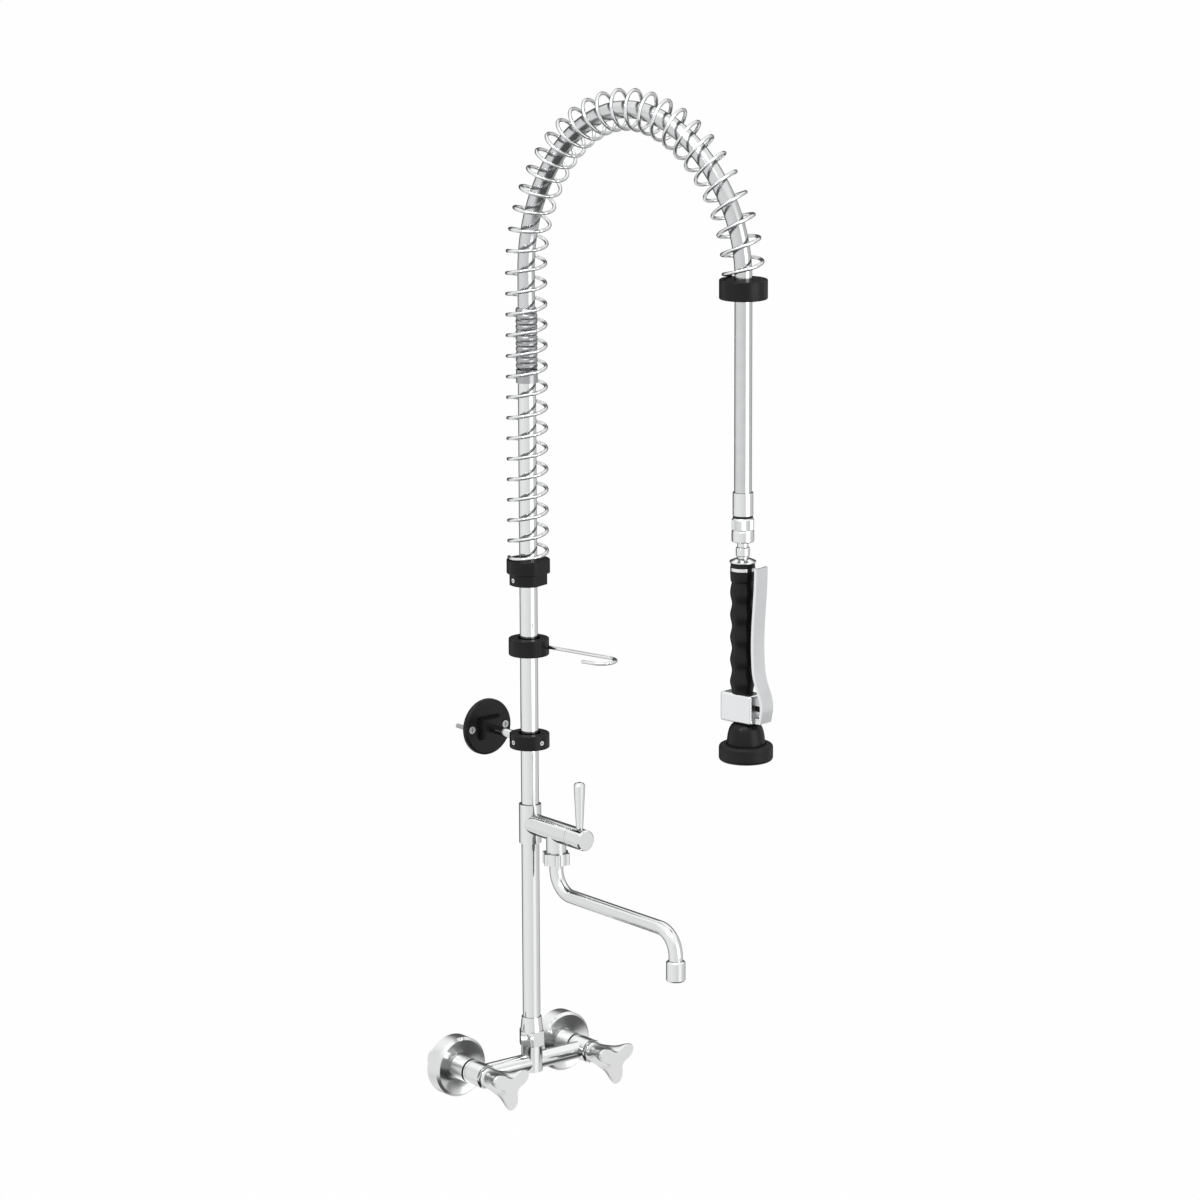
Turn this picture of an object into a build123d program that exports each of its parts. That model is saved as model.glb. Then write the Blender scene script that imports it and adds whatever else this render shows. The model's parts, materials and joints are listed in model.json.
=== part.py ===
from build123d import *
import math
import os

# A wall-mounted pre-rinse faucet, in millimetres.
# X runs to the right, Y runs into the wall and Z runs up.
# The origin is on the wall, midway between the axes of the two water inlets.

# Fits, as radial play or as a gap between faces
SLIP = 0.05
RUN = 0.10
FACE_GAP = 0.05
AIR = 0.30

QUARTER = 90

# Wall side of the mixer
INLET_SPACING = 150.0
WATERWAY_RADIUS = 6.0
UNION_RADIUS = 12.5
UNION_LENGTH = 58.0
INLET_STUB_REACH = 23.0
RISER_STANDOFF = UNION_LENGTH + INLET_STUB_REACH
SOCKET_RADIUS = 9.3
SOCKET_DEPTH = 16.0
GASKET_THICKNESS = 2.0
STUB_RADIUS = 9.0
STUB_COLLAR_RADIUS = 12.0
STUB_COLLAR_THICKNESS = 2.0
UNION_NUT_RADIUS = 14.0
UNION_NUT_LENGTH = 21.0
UNION_NUT_LIP = 4.0

# Rosettes, which slide on the unions
ROSETTE_STANDOFF = 29.5
ROSETTE_RADIUS = 34.5
ROSETTE_DEPTH = 19.5
ROSETTE_WALL = 1.6
ROSETTE_BEVEL = 3.0
ROSETTE_DISH = 7.0
ROSETTE_HUB_LENGTH = 7.0
ROSETTE_HUB_WALL = 2.0

# Mixer body
BAR_RADIUS = 10.0
VALVE_RADIUS = 13.5
VALVE_BACK_REACH = 12.5
VALVE_FRONT_REACH = 14.0
CHAMBER_RADIUS = 10.55
CHAMBER_BACK_REACH = 5.0
SPIGOT_RADIUS = 12.0
SPIGOT_BOTTOM = -10.5
SPIGOT_TOP = 20.0
SPIGOT_THREAD_RADIUS = 11.2
SPIGOT_THREAD_LENGTH = 14.0
RISER_SOCKET_DEPTH = 24.0

# Valves of the mixer
DISC_RADIUS = 9.0
DISC_THICKNESS = 3.0
DISC_PORT_RADIUS = 2.4
DISC_PORT_OFFSET = 5.0
SPINDLE_RADIUS = 4.0
SPINDLE_FLANGE_RADIUS = 6.0
SPINDLE_FLANGE_THICKNESS = 2.2
BONNET_FLATS = 24.0
BONNET_THICKNESS = 3.0
NECK_RADIUS = 7.5
NECK_LENGTH = 6.0

# Handles with three points
HANDLE_GAP = 1.0
HANDLE_LENGTH = 43.0
HANDLE_NECK_RADIUS = 11.8
HANDLE_VALLEY_RADIUS = 10.0
HANDLE_TIP_RADIUS = 27.6
HANDLE_POINTS = 3
HANDLE_SHARPNESS = 1.5
HANDLE_SAMPLES = 24
# How the points grow along the handle: share of its length, share of their full reach
HANDLE_FLARE = ((0.0, 0.0), (0.22, 0.04), (0.5, 0.3), (0.78, 0.72), (0.95, 0.98), (1.0, 0.94))
HANDLE_SPINDLE_GRIP = 16.0
HANDLE_RECESS_PLAY = 0.5

# Riser and its coupling
RISER_RADIUS = 10.0
RISER_BORE = 8.5
RISER_TOP = 786.0
COUPLING_FLATS = 26.0
COUPLING_HEX_HEIGHT = 17.0
COUPLING_CONE_HEIGHT = 16.5
COUPLING_TOP_RADIUS = 11.2
OLIVE_HEIGHT = 5.0

# Intermediate tap
TAP_HEIGHT = 280.0
TEE_RADIUS = 12.5
TEE_LENGTH = 44.8
TEE_SOCKET_DEPTH = 16.0
BARREL_RADIUS = 11.9
BARREL_REACH = 76.0
TAP_SEAT_REACH = 40.0
TAP_CHAMBER_RADIUS = 9.0
TAP_NECK_RADIUS = 6.2
TAP_NECK_LENGTH = 14.0
HUB_LENGTH = 25.0
HUB_CHAMFER = 1.6
HUB_SPINDLE_GRIP = 12.0
LEVER_REACH = 89.7
LEVER_TOP = 64.5
LEVER_BASE_RADIUS = 3.9
LEVER_TOP_RADIUS = 6.4
LEVER_STUD_RADIUS = 2.5
LEVER_STUD_DEPTH = 5.0

# Spout and its swivel
SPOUT_OFFSET = 47.2
BOSS_RADIUS = 11.2
BOSS_DROP = 31.5
BOSS_THREAD_RADIUS = 11.4
BOSS_THREAD_LENGTH = 8.5
SPOUT_RADIUS = 7.8
SPOUT_WALL = 1.2
SPOUT_TUCK = 11.0
SPOUT_DROP = 38.5
SPOUT_REACH = 210.0
SPOUT_END_DROP = 42.0
SPOUT_BEND = 27.0
SPOUT_NUT_RADIUS = 13.6
SPOUT_NUT_LOBES = 6
SPOUT_NUT_LOBE_RADIUS = 3.4
SPOUT_NUT_LOBE_SINK = 1.0
SPOUT_NUT_HEIGHT = 13.0
SPOUT_NUT_LIP = 3.0
SPOUT_RING_THICKNESS = 2.4
SEAL_WIDTH = 1.6
SEAL_DEPTH = 0.8
SEAL_PITCH = 4.0
SEAL_COUNT = 2

# Aerator
AERATOR_RADIUS = 10.6
AERATOR_HEIGHT = 22.6
AERATOR_OVERHANG = 12.0
AERATOR_SHOULDER = 1.5
AERATOR_INSERT_HEIGHT = 8.0
AERATOR_LIP = 1.2
AERATOR_HOLE_RADIUS = 0.9
AERATOR_HOLES = 8

# Wall stay
STAY_HEIGHT = 376.0
FLANGE_RADIUS = 32.2
FLANGE_THICKNESS = 6.0
FLANGE_BOSS_WIDTH = 29.0
FLANGE_BOSS_REACH = 15.0
FLANGE_BOSS_TAPER = 7.0
WALL_SCREW_SPACING = 47.0
WALL_SCREW_RADIUS = 2.5
WALL_SCREW_NECK_RADIUS = 2.8
WALL_SCREW_RELIEF_RADIUS = 7.0
WALL_SCREW_RELIEF = 1.5
WALL_SCREW_CROSS = 5.2
WALL_SCREW_CROSS_WIDTH = 1.2
WALL_SCREW_HEAD_RADIUS = 4.2
WALL_SCREW_HEAD_HEIGHT = 2.4
WALL_SCREW_TAIL = 22.0
ROD_RADIUS = 4.9
ROD_TUCK = 11.0
STAY_COLLAR_RADIUS = 22.4
STAY_COLLAR_HEIGHT = 16.5
COLLAR_RECESS_RADIUS = 12.8
COLLAR_RECESS_DEPTH = 3.0
COLLAR_EDGE = 1.0
COLLAR_SEAM_TURN = 45.0
GRUB_RADIUS = 2.5
GRUB_PROUD = 0.4
GRUB_KEY_RADIUS = 1.2
GRUB_KEY_DEPTH = 2.0

# Hook
HOOK_HEIGHT = 483.5
HOOK_TURN = 13.0
HOOK_COLLAR_RADIUS = 22.6
HOOK_COLLAR_HEIGHT = 19.0
HOOK_WIRE_RADIUS = 2.0
HOOK_WIRE_OFFSET = 8.2
HOOK_RUN = 109.0
HOOK_BEND = 16.0
HOOK_RETURN = 13.0
HOOK_SOCKET = 8.0

# Spring seat
SEAT_TOP = 582.5
SEAT_RING_RADIUS = 24.2
SEAT_RING_HEIGHT = 15.5
SEAT_RADIUS = 21.0
SEAT_HEIGHT = 28.5
SEAT_RING_FLAT = 21.4
SEAT_FLAT = 17.9

# Hose, whose route is in the upright plane of the arch: distance from the riser axis, height
ARCH_TURN = 15.0
HOSE_RADIUS = 9.5
HOSE_BORE = 6.5
HOSE_ROUTE = [
    (0.0, 797.0),
    (0.0, 959.0),
    (52.0, 1057.0),
    (137.0, 1100.0),
    (227.0, 1066.0),
    (289.5, 974.0),
    (289.5, 669.0),
]
HOSE_ARC_SHARE = 0.45

# Hose fitting on the riser
TAIL_FLANGE_THICKNESS = 3.4
TAIL_NECK_RADIUS = 7.0
TAIL_BORE = 4.5
TAIL_INSERT = 34.0
HOSE_NUT_RADIUS = 12.0
HOSE_NUT_TUCK = 5.0
HOSE_NUT_LIP = 4.0
FERRULE_RADIUS = 12.0
FERRULE_LENGTH = 67.0
FERRULE_RIBS = 11
RIB_DEPTH = 0.9

# Spring
SPRING_RADIUS = 21.2
SPRING_WIRE_RADIUS = 2.0
SPRING_PITCH = 23.0
SPRING_START = 125.0
SPRING_FLAT_TURNS = 0.4
SPRING_SQUEEZE = 56.0
SPRING_SQUEEZE_TURNS = (17.6, 34.6)

# Spring end collar on the hose
END_COLLAR_TOP = 920.5
END_COLLAR_RADIUS = 26.0
END_COLLAR_HEIGHT = 21.0
END_COLLAR_EDGE = 1.2

# Crimped fitting at the end of the hose, and the swivel
CRIMP_RADIUS = 11.1
CRIMP_LENGTH = 24.8
CRIMP_FLOOR = 3.0
STEM_RADIUS = 8.0
SWIVEL_SEAL_RADIUS = 10.8
SWIVEL_SEAL_HEIGHT = 2.9
SWIVEL_NUT_RADIUS = 12.2
SWIVEL_NUT_HEIGHT = 26.3
SWIVEL_NUT_THREAD = 13.0
SWIVEL_NUT_LIP = 3.5
SWIVEL_NUT_CHAMFER = 0.8
SWIVEL_FLANGE_THICKNESS = 4.0
SWIVEL_STEM_RADIUS = 6.0
SWIVEL_STEM_TUCK = 8.0
SWIVEL_BEAD_RADIUS = 7.6
SWIVEL_BEAD_HEIGHT = 10.9
SWIVEL_BEAD_EDGE = 2.0
SWIVEL_GAP_ABOVE = 5.4
SWIVEL_GAP_BELOW = 1.9

# Spray gun: heights, and distances forward of the hose axis on the lever's side
SPRAY_TURN = 10.0
CAP_HEIGHT = 3.8
CAP_RADIUS = 14.3
CAP_TOP_RADIUS = 8.5
GRIP_RADIUS = 13.2
GRIP_BAND_HEIGHT = 5.5
GRIP_LENGTH = 143.8
GRIP_CREST_RADIUS = 13.6
GRIP_VALLEY_RADIUS = 11.6
GRIP_WAVES = 5.5
GRIP_TUBE_RADIUS = 8.0
GRIP_TUBE_TUCK = 8.0
RING_HEIGHT = 3.6
RING_DEPTH = 1.8
RING_PROUD = 0.4
BOX_BACK = -22.0
BOX_FRONT = 21.0
BOX_WIDTH = 24.0
BOX_HEIGHT = 32.3
BOX_EDGE = 3.0
PLUNGER_RISE = 12.0
PLUNGER_RADIUS = 3.0
PLUNGER_TRAVEL = 0.8
POPPET_RADIUS = 5.4
POPPET_THICKNESS = 3.0
VALVE_BORE = 6.5
VALVE_BORE_FRONT = 4.0
OUTLET_RADIUS = 4.4
OUTLET_FRONT = 14.0
INLET_RADIUS = 3.5
PLUG_LENGTH = 6.0
RETURN_SPRING_RADIUS = 4.2
RETURN_SPRING_WIRE = 0.6
RETURN_SPRING_TURNS = 4
PIVOT_AHEAD = 6.2
PIVOT_LIFT = 5.0
PIVOT_RADIUS = 1.6
LUG_RADIUS = 3.0
LUG_THICKNESS = 3.0
LUG_OFFSET = 5.0
TRIGGER_WIDTH = 18.5
TRIGGER_SKIN = 2.2
TRIGGER_CHEEK = 1.8
# The lever's side outline from its pivot: height, outer face forward, inner edge of the cheeks forward
TRIGGER_OUTLINE = [
    (-2.0, 5.4, 2.4),
    (5.0, 6.7, 3.7),
    (15.0, 8.2, 4.8),
    (32.0, 4.0, 0.6),
    (46.0, -1.4, -4.8),
    (64.0, -3.9, -7.3),
    (97.0, -4.2, -7.6),
    (125.0, -2.3, -5.7),
    (168.0, -0.2, -3.6),
]
# The lever's foot on its pin, between the lugs: height, distance forward
TRIGGER_FOOT = [
    (7.0, 6.0),
    (-1.8, 4.2),
    (-3.2, 1.5),
    (-3.2, -1.5),
    (-1.5, -3.0),
    (1.5, -3.0),
    (3.2, -1.2),
    (7.0, 4.0),
]
TRIGGER_FOOT_WIDTH = 6.4
LEVER_PIN_PROUD = 0.6

# Spray head
HEAD_FORWARD = 5.0
BELL_RADIUS = 20.9
BELL_HEIGHT = 26.6
BELL_NECK_RADIUS = 10.0
BELL_WALL = 2.5
BELL_FULLNESS = 0.34
BELL_STEPS = 12
FACE_THICKNESS = 3.0
FACE_RING_RADII = (7.0, 13.0)
FACE_RING_COUNTS = (6, 12)
FACE_HOLE_RADIUS = 1.0
BUMPER_RADIUS = 29.4
BUMPER_HEIGHT = 15.4
BUMPER_BORE = 17.5
BUMPER_LIP = 3.2
BUMPER_GROOVE = 0.8
BUMPER_EDGE = 4.0


def rod(radius, low, high):
    "A cylinder on the Z axis between two heights."
    return Pos(0, 0, low) * Cylinder(radius, high - low, align=(Align.CENTER, Align.CENTER, Align.MIN))


def tube(outer, inner, low, high):
    "A ring on the Z axis between two heights."
    return rod(outer, low, high) - rod(inner, low, high)


def turned(*outline):
    "A solid turned about the Z axis from its half outline of radius and height."
    return revolve(make_face(Polyline(*[(r, 0, z) for r, z in outline], close=True)), Axis.Z)


def hexagon(flats, low, high):
    "A hexagonal bar on the Z axis between two heights."
    return Pos(0, 0, low) * extrude(RegularPolygon(flats / 2, 6, major_radius=False), high - low)


def round_rims(shape, radius):
    "Round the circular edges at the top and bottom of a turned ring."
    rims = shape.edges().filter_by(GeomType.CIRCLE).group_by(SortBy.RADIUS)[-1]
    return fillet(rims, radius)


def forward(shape, x=0.0, z=0.0):
    "Lay a shape's Z axis level, so that its heights become distances from the wall."
    return Pos(x, 0, z) * Rot(90, 0, 0) * shape


def on_riser(shape):
    return Pos(0, -RISER_STANDOFF, 0) * shape


def arch_point(distance, height):
    "A point in the upright plane of the arch."
    turn = math.radians(ARCH_TURN)
    return Vector(distance * math.sin(turn), -RISER_STANDOFF - distance * math.cos(turn), height)


def on_hose_end(shape):
    "Place a shape on the hanging hose's axis, with its -Y side towards the lever."
    foot = arch_point(HOSE_ROUTE[-1][0], 0)
    return Pos(foot.X, foot.Y, 0) * Rot(0, 0, SPRAY_TURN) * shape


TAIL_FLANGE_RADIUS = RISER_RADIUS - AIR

# Distances from the wall that several pieces share
INLETS = (-INLET_SPACING / 2, INLET_SPACING / 2)
STUB_END = UNION_LENGTH + GASKET_THICKNESS
CHAMBER_BACK = RISER_STANDOFF - CHAMBER_BACK_REACH
VALVE_FRONT = RISER_STANDOFF + VALVE_FRONT_REACH
DISC_JOINT = CHAMBER_BACK + DISC_THICKNESS
DISC_FRONT = DISC_JOINT + FACE_GAP + DISC_THICKNESS
HEADWORK_BACK = DISC_FRONT + FACE_GAP
BONNET_FRONT = VALVE_FRONT + BONNET_THICKNESS
HANDLE_BACK = BONNET_FRONT + HANDLE_GAP
HANDLE_FRONT = HANDLE_BACK + HANDLE_LENGTH
NECK_FRONT = BONNET_FRONT + NECK_LENGTH
SPINDLE_FRONT = NECK_FRONT + HANDLE_SPINDLE_GRIP


def wall_unions():
    body = rod(UNION_RADIUS, 0, UNION_LENGTH) - rod(SOCKET_RADIUS, 0, SOCKET_DEPTH)
    body -= rod(WATERWAY_RADIUS, 0, UNION_LENGTH)
    return Compound(children=[forward(body, x) for x in INLETS])


def inlet_gaskets():
    ring = tube(STUB_COLLAR_RADIUS, WATERWAY_RADIUS, UNION_LENGTH, STUB_END)
    return [forward(ring, x) for x in INLETS]


def union_nuts():
    front = STUB_END + STUB_COLLAR_THICKNESS + FACE_GAP + UNION_NUT_LIP
    back = front - UNION_NUT_LENGTH
    nut = rod(UNION_NUT_RADIUS, back, front) - rod(UNION_RADIUS + SLIP, back, front - UNION_NUT_LIP)
    nut -= rod(STUB_RADIUS + SLIP, back, front)
    return Compound(children=[forward(nut, x) for x in INLETS])


def rosette(x):
    bore = UNION_RADIUS + RUN
    hub = bore + ROSETTE_HUB_WALL
    dish = ROSETTE_DEPTH - ROSETTE_DISH
    rim = ROSETTE_RADIUS - ROSETTE_BEVEL
    shell = turned(
        (ROSETTE_RADIUS, 0),
        (ROSETTE_RADIUS, ROSETTE_DEPTH - ROSETTE_BEVEL),
        (rim, ROSETTE_DEPTH),
        (hub, dish),
        (bore, dish),
        (bore, dish - ROSETTE_HUB_LENGTH),
        (hub, dish - ROSETTE_HUB_LENGTH),
        (hub, dish - ROSETTE_WALL),
        (rim, ROSETTE_DEPTH - 2 * ROSETTE_WALL),
        (ROSETTE_RADIUS - ROSETTE_WALL, ROSETTE_DEPTH - ROSETTE_BEVEL - ROSETTE_WALL),
        (ROSETTE_RADIUS - ROSETTE_WALL, 0),
    )
    return forward(Pos(0, 0, ROSETTE_STANDOFF) * shell, x)


def mixer_body():
    bar = on_riser(Rot(0, 90, 0) * Cylinder(BAR_RADIUS, INLET_SPACING))
    body = bar + on_riser(rod(SPIGOT_RADIUS, SPIGOT_BOTTOM, SPIGOT_TOP))
    body += on_riser(rod(SPIGOT_THREAD_RADIUS, SPIGOT_TOP, SPIGOT_TOP + SPIGOT_THREAD_LENGTH))
    for x in INLETS:
        body += forward(rod(VALVE_RADIUS, RISER_STANDOFF - VALVE_BACK_REACH, VALVE_FRONT), x)
        body += forward(rod(STUB_RADIUS, STUB_END, RISER_STANDOFF), x)
        body += forward(rod(STUB_COLLAR_RADIUS, STUB_END, STUB_END + STUB_COLLAR_THICKNESS), x)
    for x in INLETS:
        body -= forward(rod(CHAMBER_RADIUS, CHAMBER_BACK, VALVE_FRONT), x)
        body -= forward(rod(WATERWAY_RADIUS, STUB_END, CHAMBER_BACK), x)
    body -= on_riser(Rot(0, 90, 0) * Cylinder(WATERWAY_RADIUS, INLET_SPACING))
    thread_top = SPIGOT_TOP + SPIGOT_THREAD_LENGTH
    body -= on_riser(rod(RISER_BORE, 0, thread_top))
    body -= on_riser(rod(RISER_RADIUS + SLIP, thread_top - RISER_SOCKET_DEPTH, thread_top))
    return body


def port_disc(back, radius):
    "A ceramic disc with two ports, side by side."
    disc = rod(radius, back, back + DISC_THICKNESS)
    for side in (-1, 1):
        disc -= Pos(side * DISC_PORT_OFFSET, 0, 0) * rod(DISC_PORT_RADIUS, back, back + DISC_THICKNESS)
    return disc


def headworks():
    bore = SPINDLE_RADIUS + RUN
    body = rod(CHAMBER_RADIUS - SLIP, HEADWORK_BACK, VALVE_FRONT)
    body += hexagon(BONNET_FLATS, VALVE_FRONT, BONNET_FRONT)
    body += rod(NECK_RADIUS, BONNET_FRONT, NECK_FRONT)
    body -= rod(bore, HEADWORK_BACK, NECK_FRONT)
    recess = HEADWORK_BACK + SPINDLE_FLANGE_THICKNESS + AIR
    body -= rod(SPINDLE_FLANGE_RADIUS + AIR, HEADWORK_BACK, recess)
    return Compound(children=[forward(body, x) for x in INLETS])


def seat_discs():
    discs = [forward(port_disc(CHAMBER_BACK, DISC_RADIUS), x) for x in INLETS]
    tap_disc = port_disc(RISER_STANDOFF + TAP_SEAT_REACH, TAP_CHAMBER_RADIUS - AIR)
    return Compound(children=discs + [forward(tap_disc, 0, TAP_HEIGHT)])


def moving_disc(x):
    "The turning disc, its ports a quarter turn from the fixed ones, so that the valve is shut."
    return forward(Rot(0, 0, QUARTER) * port_disc(DISC_JOINT + FACE_GAP, DISC_RADIUS), x)


def spindle(x):
    shaft = rod(SPINDLE_RADIUS, DISC_FRONT, SPINDLE_FRONT)
    shaft += rod(SPINDLE_FLANGE_RADIUS, DISC_FRONT, DISC_FRONT + SPINDLE_FLANGE_THICKNESS)
    return forward(shaft, x)


def lobed_section(height, tip, valley):
    "A round outline drawn out into three points, the first of which points down."
    points = []
    for step in range(HANDLE_SAMPLES):
        angle = 2 * math.pi * step / HANDLE_SAMPLES
        swell = (0.5 + 0.5 * math.cos(HANDLE_POINTS * angle)) ** HANDLE_SHARPNESS
        radius = valley + (tip - valley) * swell
        points.append((radius * math.sin(angle), -radius * math.cos(angle), height))
    return make_face(Spline(*points, periodic=True))


def handle(x):
    flare = HANDLE_TIP_RADIUS - HANDLE_NECK_RADIUS
    sections = []
    for along, share in HANDLE_FLARE:
        tip = HANDLE_NECK_RADIUS + flare * share
        valley = HANDLE_NECK_RADIUS + (HANDLE_VALLEY_RADIUS - HANDLE_NECK_RADIUS) * share
        sections.append(lobed_section(HANDLE_BACK + along * HANDLE_LENGTH, tip, valley))
    body = loft(sections)
    body -= rod(NECK_RADIUS + HANDLE_RECESS_PLAY, HANDLE_BACK, NECK_FRONT + HANDLE_RECESS_PLAY)
    body -= rod(SPINDLE_RADIUS + SLIP, HANDLE_BACK, SPINDLE_FRONT + AIR)
    return forward(body, x)


# Heights that the riser's pieces share
COUPLING_BOTTOM = SPIGOT_TOP + AIR
THREAD_TOP = SPIGOT_TOP + SPIGOT_THREAD_LENGTH
RISER_BOTTOM = THREAD_TOP - RISER_SOCKET_DEPTH
TEE_BOTTOM = TAP_HEIGHT - TEE_LENGTH / 2
TEE_TOP = TAP_HEIGHT + TEE_LENGTH / 2


def coupling_nut():
    hex_top = COUPLING_BOTTOM + COUPLING_HEX_HEIGHT
    top = hex_top + COUPLING_CONE_HEIGHT
    cone = turned(
        (0, COUPLING_BOTTOM),
        (COUPLING_FLATS / 2, COUPLING_BOTTOM),
        (COUPLING_FLATS / 2, hex_top),
        (COUPLING_TOP_RADIUS, top),
        (0, top),
    )
    nut = hexagon(COUPLING_FLATS, COUPLING_BOTTOM, hex_top) + cone
    nut -= rod(SPIGOT_THREAD_RADIUS + SLIP, COUPLING_BOTTOM, THREAD_TOP + OLIVE_HEIGHT + FACE_GAP)
    nut -= rod(RISER_RADIUS + SLIP, COUPLING_BOTTOM, top)
    return on_riser(nut)


def joint_seals():
    "The two inlet gaskets, the riser's olive and the hose washer."
    olive = on_riser(tube(SPIGOT_THREAD_RADIUS, RISER_RADIUS + SLIP, THREAD_TOP, THREAD_TOP + OLIVE_HEIGHT))
    washer = on_riser(tube(TAIL_FLANGE_RADIUS, RISER_BORE, RISER_TOP, RISER_TOP + GASKET_THICKNESS))
    return Compound(children=inlet_gaskets() + [olive, washer])


def riser_lower():
    return on_riser(tube(RISER_RADIUS, RISER_BORE, RISER_BOTTOM, TEE_BOTTOM + TEE_SOCKET_DEPTH))


def riser_upper():
    return on_riser(tube(RISER_RADIUS, RISER_BORE, TEE_TOP - TEE_SOCKET_DEPTH, RISER_TOP))


# Distances from the wall along the tap's barrel
BARREL_FRONT = RISER_STANDOFF + BARREL_REACH
TAP_SEAT = RISER_STANDOFF + TAP_SEAT_REACH
TAP_DISC_BACK = TAP_SEAT + DISC_THICKNESS + FACE_GAP
TAP_HEADWORK_BACK = TAP_DISC_BACK + DISC_THICKNESS + FACE_GAP
HUB_BACK = BARREL_FRONT + AIR
HUB_FRONT = HUB_BACK + HUB_LENGTH
SWIVEL_FORWARD = RISER_STANDOFF + SPOUT_OFFSET
BOSS_BOTTOM = TAP_HEIGHT - BOSS_DROP
BOSS_TOP = BOSS_BOTTOM + BOSS_THREAD_LENGTH


def on_spout(shape):
    return Pos(0, -SWIVEL_FORWARD, 0) * shape


def tap_body():
    body = on_riser(rod(TEE_RADIUS, TEE_BOTTOM, TEE_TOP))
    body += forward(rod(BARREL_RADIUS, RISER_STANDOFF, BARREL_FRONT), 0, TAP_HEIGHT)
    body += on_spout(rod(BOSS_RADIUS, BOSS_TOP, TAP_HEIGHT))
    body += on_spout(rod(BOSS_THREAD_RADIUS, BOSS_BOTTOM, BOSS_TOP))
    body -= on_riser(rod(RISER_BORE, TEE_BOTTOM, TEE_TOP))
    for low in (TEE_BOTTOM, TEE_TOP - TEE_SOCKET_DEPTH):
        body -= on_riser(rod(RISER_RADIUS + SLIP, low, low + TEE_SOCKET_DEPTH))
    body -= forward(rod(WATERWAY_RADIUS, RISER_STANDOFF, TAP_SEAT), 0, TAP_HEIGHT)
    body -= forward(rod(TAP_CHAMBER_RADIUS, TAP_SEAT, BARREL_FRONT), 0, TAP_HEIGHT)
    body -= on_spout(rod(WATERWAY_RADIUS, BOSS_BOTTOM, TAP_HEIGHT))
    body -= on_spout(rod(SPOUT_RADIUS + RUN, BOSS_BOTTOM, BOSS_BOTTOM + SPOUT_TUCK + AIR))
    return body


def tap_headwork():
    neck_front = TAP_HEADWORK_BACK + TAP_NECK_LENGTH
    body = rod(TAP_NECK_RADIUS, TAP_HEADWORK_BACK, neck_front)
    body += rod(TAP_CHAMBER_RADIUS - SLIP, neck_front, BARREL_FRONT)
    body -= rod(SPINDLE_RADIUS + RUN, TAP_HEADWORK_BACK, BARREL_FRONT)
    return forward(body, 0, TAP_HEIGHT)


def tap_spindle():
    shaft = Rot(0, 0, QUARTER) * port_disc(TAP_DISC_BACK, TAP_CHAMBER_RADIUS - AIR)
    shaft += rod(SPINDLE_RADIUS, TAP_DISC_BACK + DISC_THICKNESS, HUB_BACK + HUB_SPINDLE_GRIP)
    return forward(shaft, 0, TAP_HEIGHT)


def lever_socket():
    "The hole in the hub that takes the lever's stud."
    return rod(LEVER_STUD_RADIUS + SLIP, BARREL_RADIUS - LEVER_STUD_DEPTH - AIR, BARREL_RADIUS)


def on_lever(shape):
    return Pos(0, -RISER_STANDOFF - LEVER_REACH, TAP_HEIGHT) * shape


def tap_hub():
    body = turned(
        (0, HUB_BACK),
        (BARREL_RADIUS, HUB_BACK),
        (BARREL_RADIUS, HUB_FRONT - HUB_CHAMFER),
        (BARREL_RADIUS - HUB_CHAMFER, HUB_FRONT),
        (0, HUB_FRONT),
    )
    body -= rod(SPINDLE_RADIUS + SLIP, HUB_BACK, HUB_BACK + HUB_SPINDLE_GRIP + AIR)
    return forward(body, 0, TAP_HEIGHT) - on_lever(lever_socket())


def tap_lever():
    dome_base = LEVER_TOP - LEVER_TOP_RADIUS / 2
    stem = turned(
        (0, BARREL_RADIUS + FACE_GAP),
        (LEVER_BASE_RADIUS, BARREL_RADIUS + FACE_GAP),
        (LEVER_TOP_RADIUS, dome_base),
        (LEVER_TOP_RADIUS * 0.8, LEVER_TOP - LEVER_TOP_RADIUS / 6),
        (LEVER_TOP_RADIUS * 0.4, LEVER_TOP),
        (0, LEVER_TOP),
    )
    stud = rod(LEVER_STUD_RADIUS, BARREL_RADIUS - LEVER_STUD_DEPTH, BARREL_RADIUS + FACE_GAP)
    return on_lever(stem + stud)


# Heights down the spout
SPOUT_TOP = BOSS_BOTTOM + SPOUT_TUCK
SPOUT_LEVEL = BOSS_BOTTOM - SPOUT_DROP
SPOUT_END = SPOUT_LEVEL - SPOUT_END_DROP
AERATOR_BOTTOM = SPOUT_END - AERATOR_OVERHANG
SPOUT_RING_TOP = BOSS_BOTTOM - AIR
SPOUT_NUT_BOTTOM = SPOUT_RING_TOP - SPOUT_RING_THICKNESS - AIR - SPOUT_NUT_LIP


def seal_heights():
    "The lower faces of the seals near the spout's top."
    return [SPOUT_TOP - SEAL_WIDTH - SEAL_PITCH * (step + 0.5) for step in range(SEAL_COUNT)]


def spout():
    path = FilletPolyline(
        (0, 0, SPOUT_TOP),
        (0, 0, SPOUT_LEVEL),
        (0, -SPOUT_REACH, SPOUT_LEVEL),
        (0, -SPOUT_REACH, SPOUT_END),
        radius=SPOUT_BEND,
    )
    section = Plane((0, 0, SPOUT_TOP), z_dir=(0, 0, -1))
    wall = section * Circle(SPOUT_RADIUS) - section * Circle(SPOUT_RADIUS - SPOUT_WALL)
    pipe = sweep(wall, path)
    for low in seal_heights():
        pipe -= tube(SPOUT_RADIUS, SPOUT_RADIUS - SEAL_DEPTH, low, low + SEAL_WIDTH)
    return on_spout(pipe)


def spout_seals():
    ring = tube(SPOUT_RADIUS + RUN / 2, SPOUT_RADIUS - SEAL_DEPTH, 0, SEAL_WIDTH)
    return Compound(children=[on_spout(Pos(0, 0, low) * ring) for low in seal_heights()])


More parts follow.
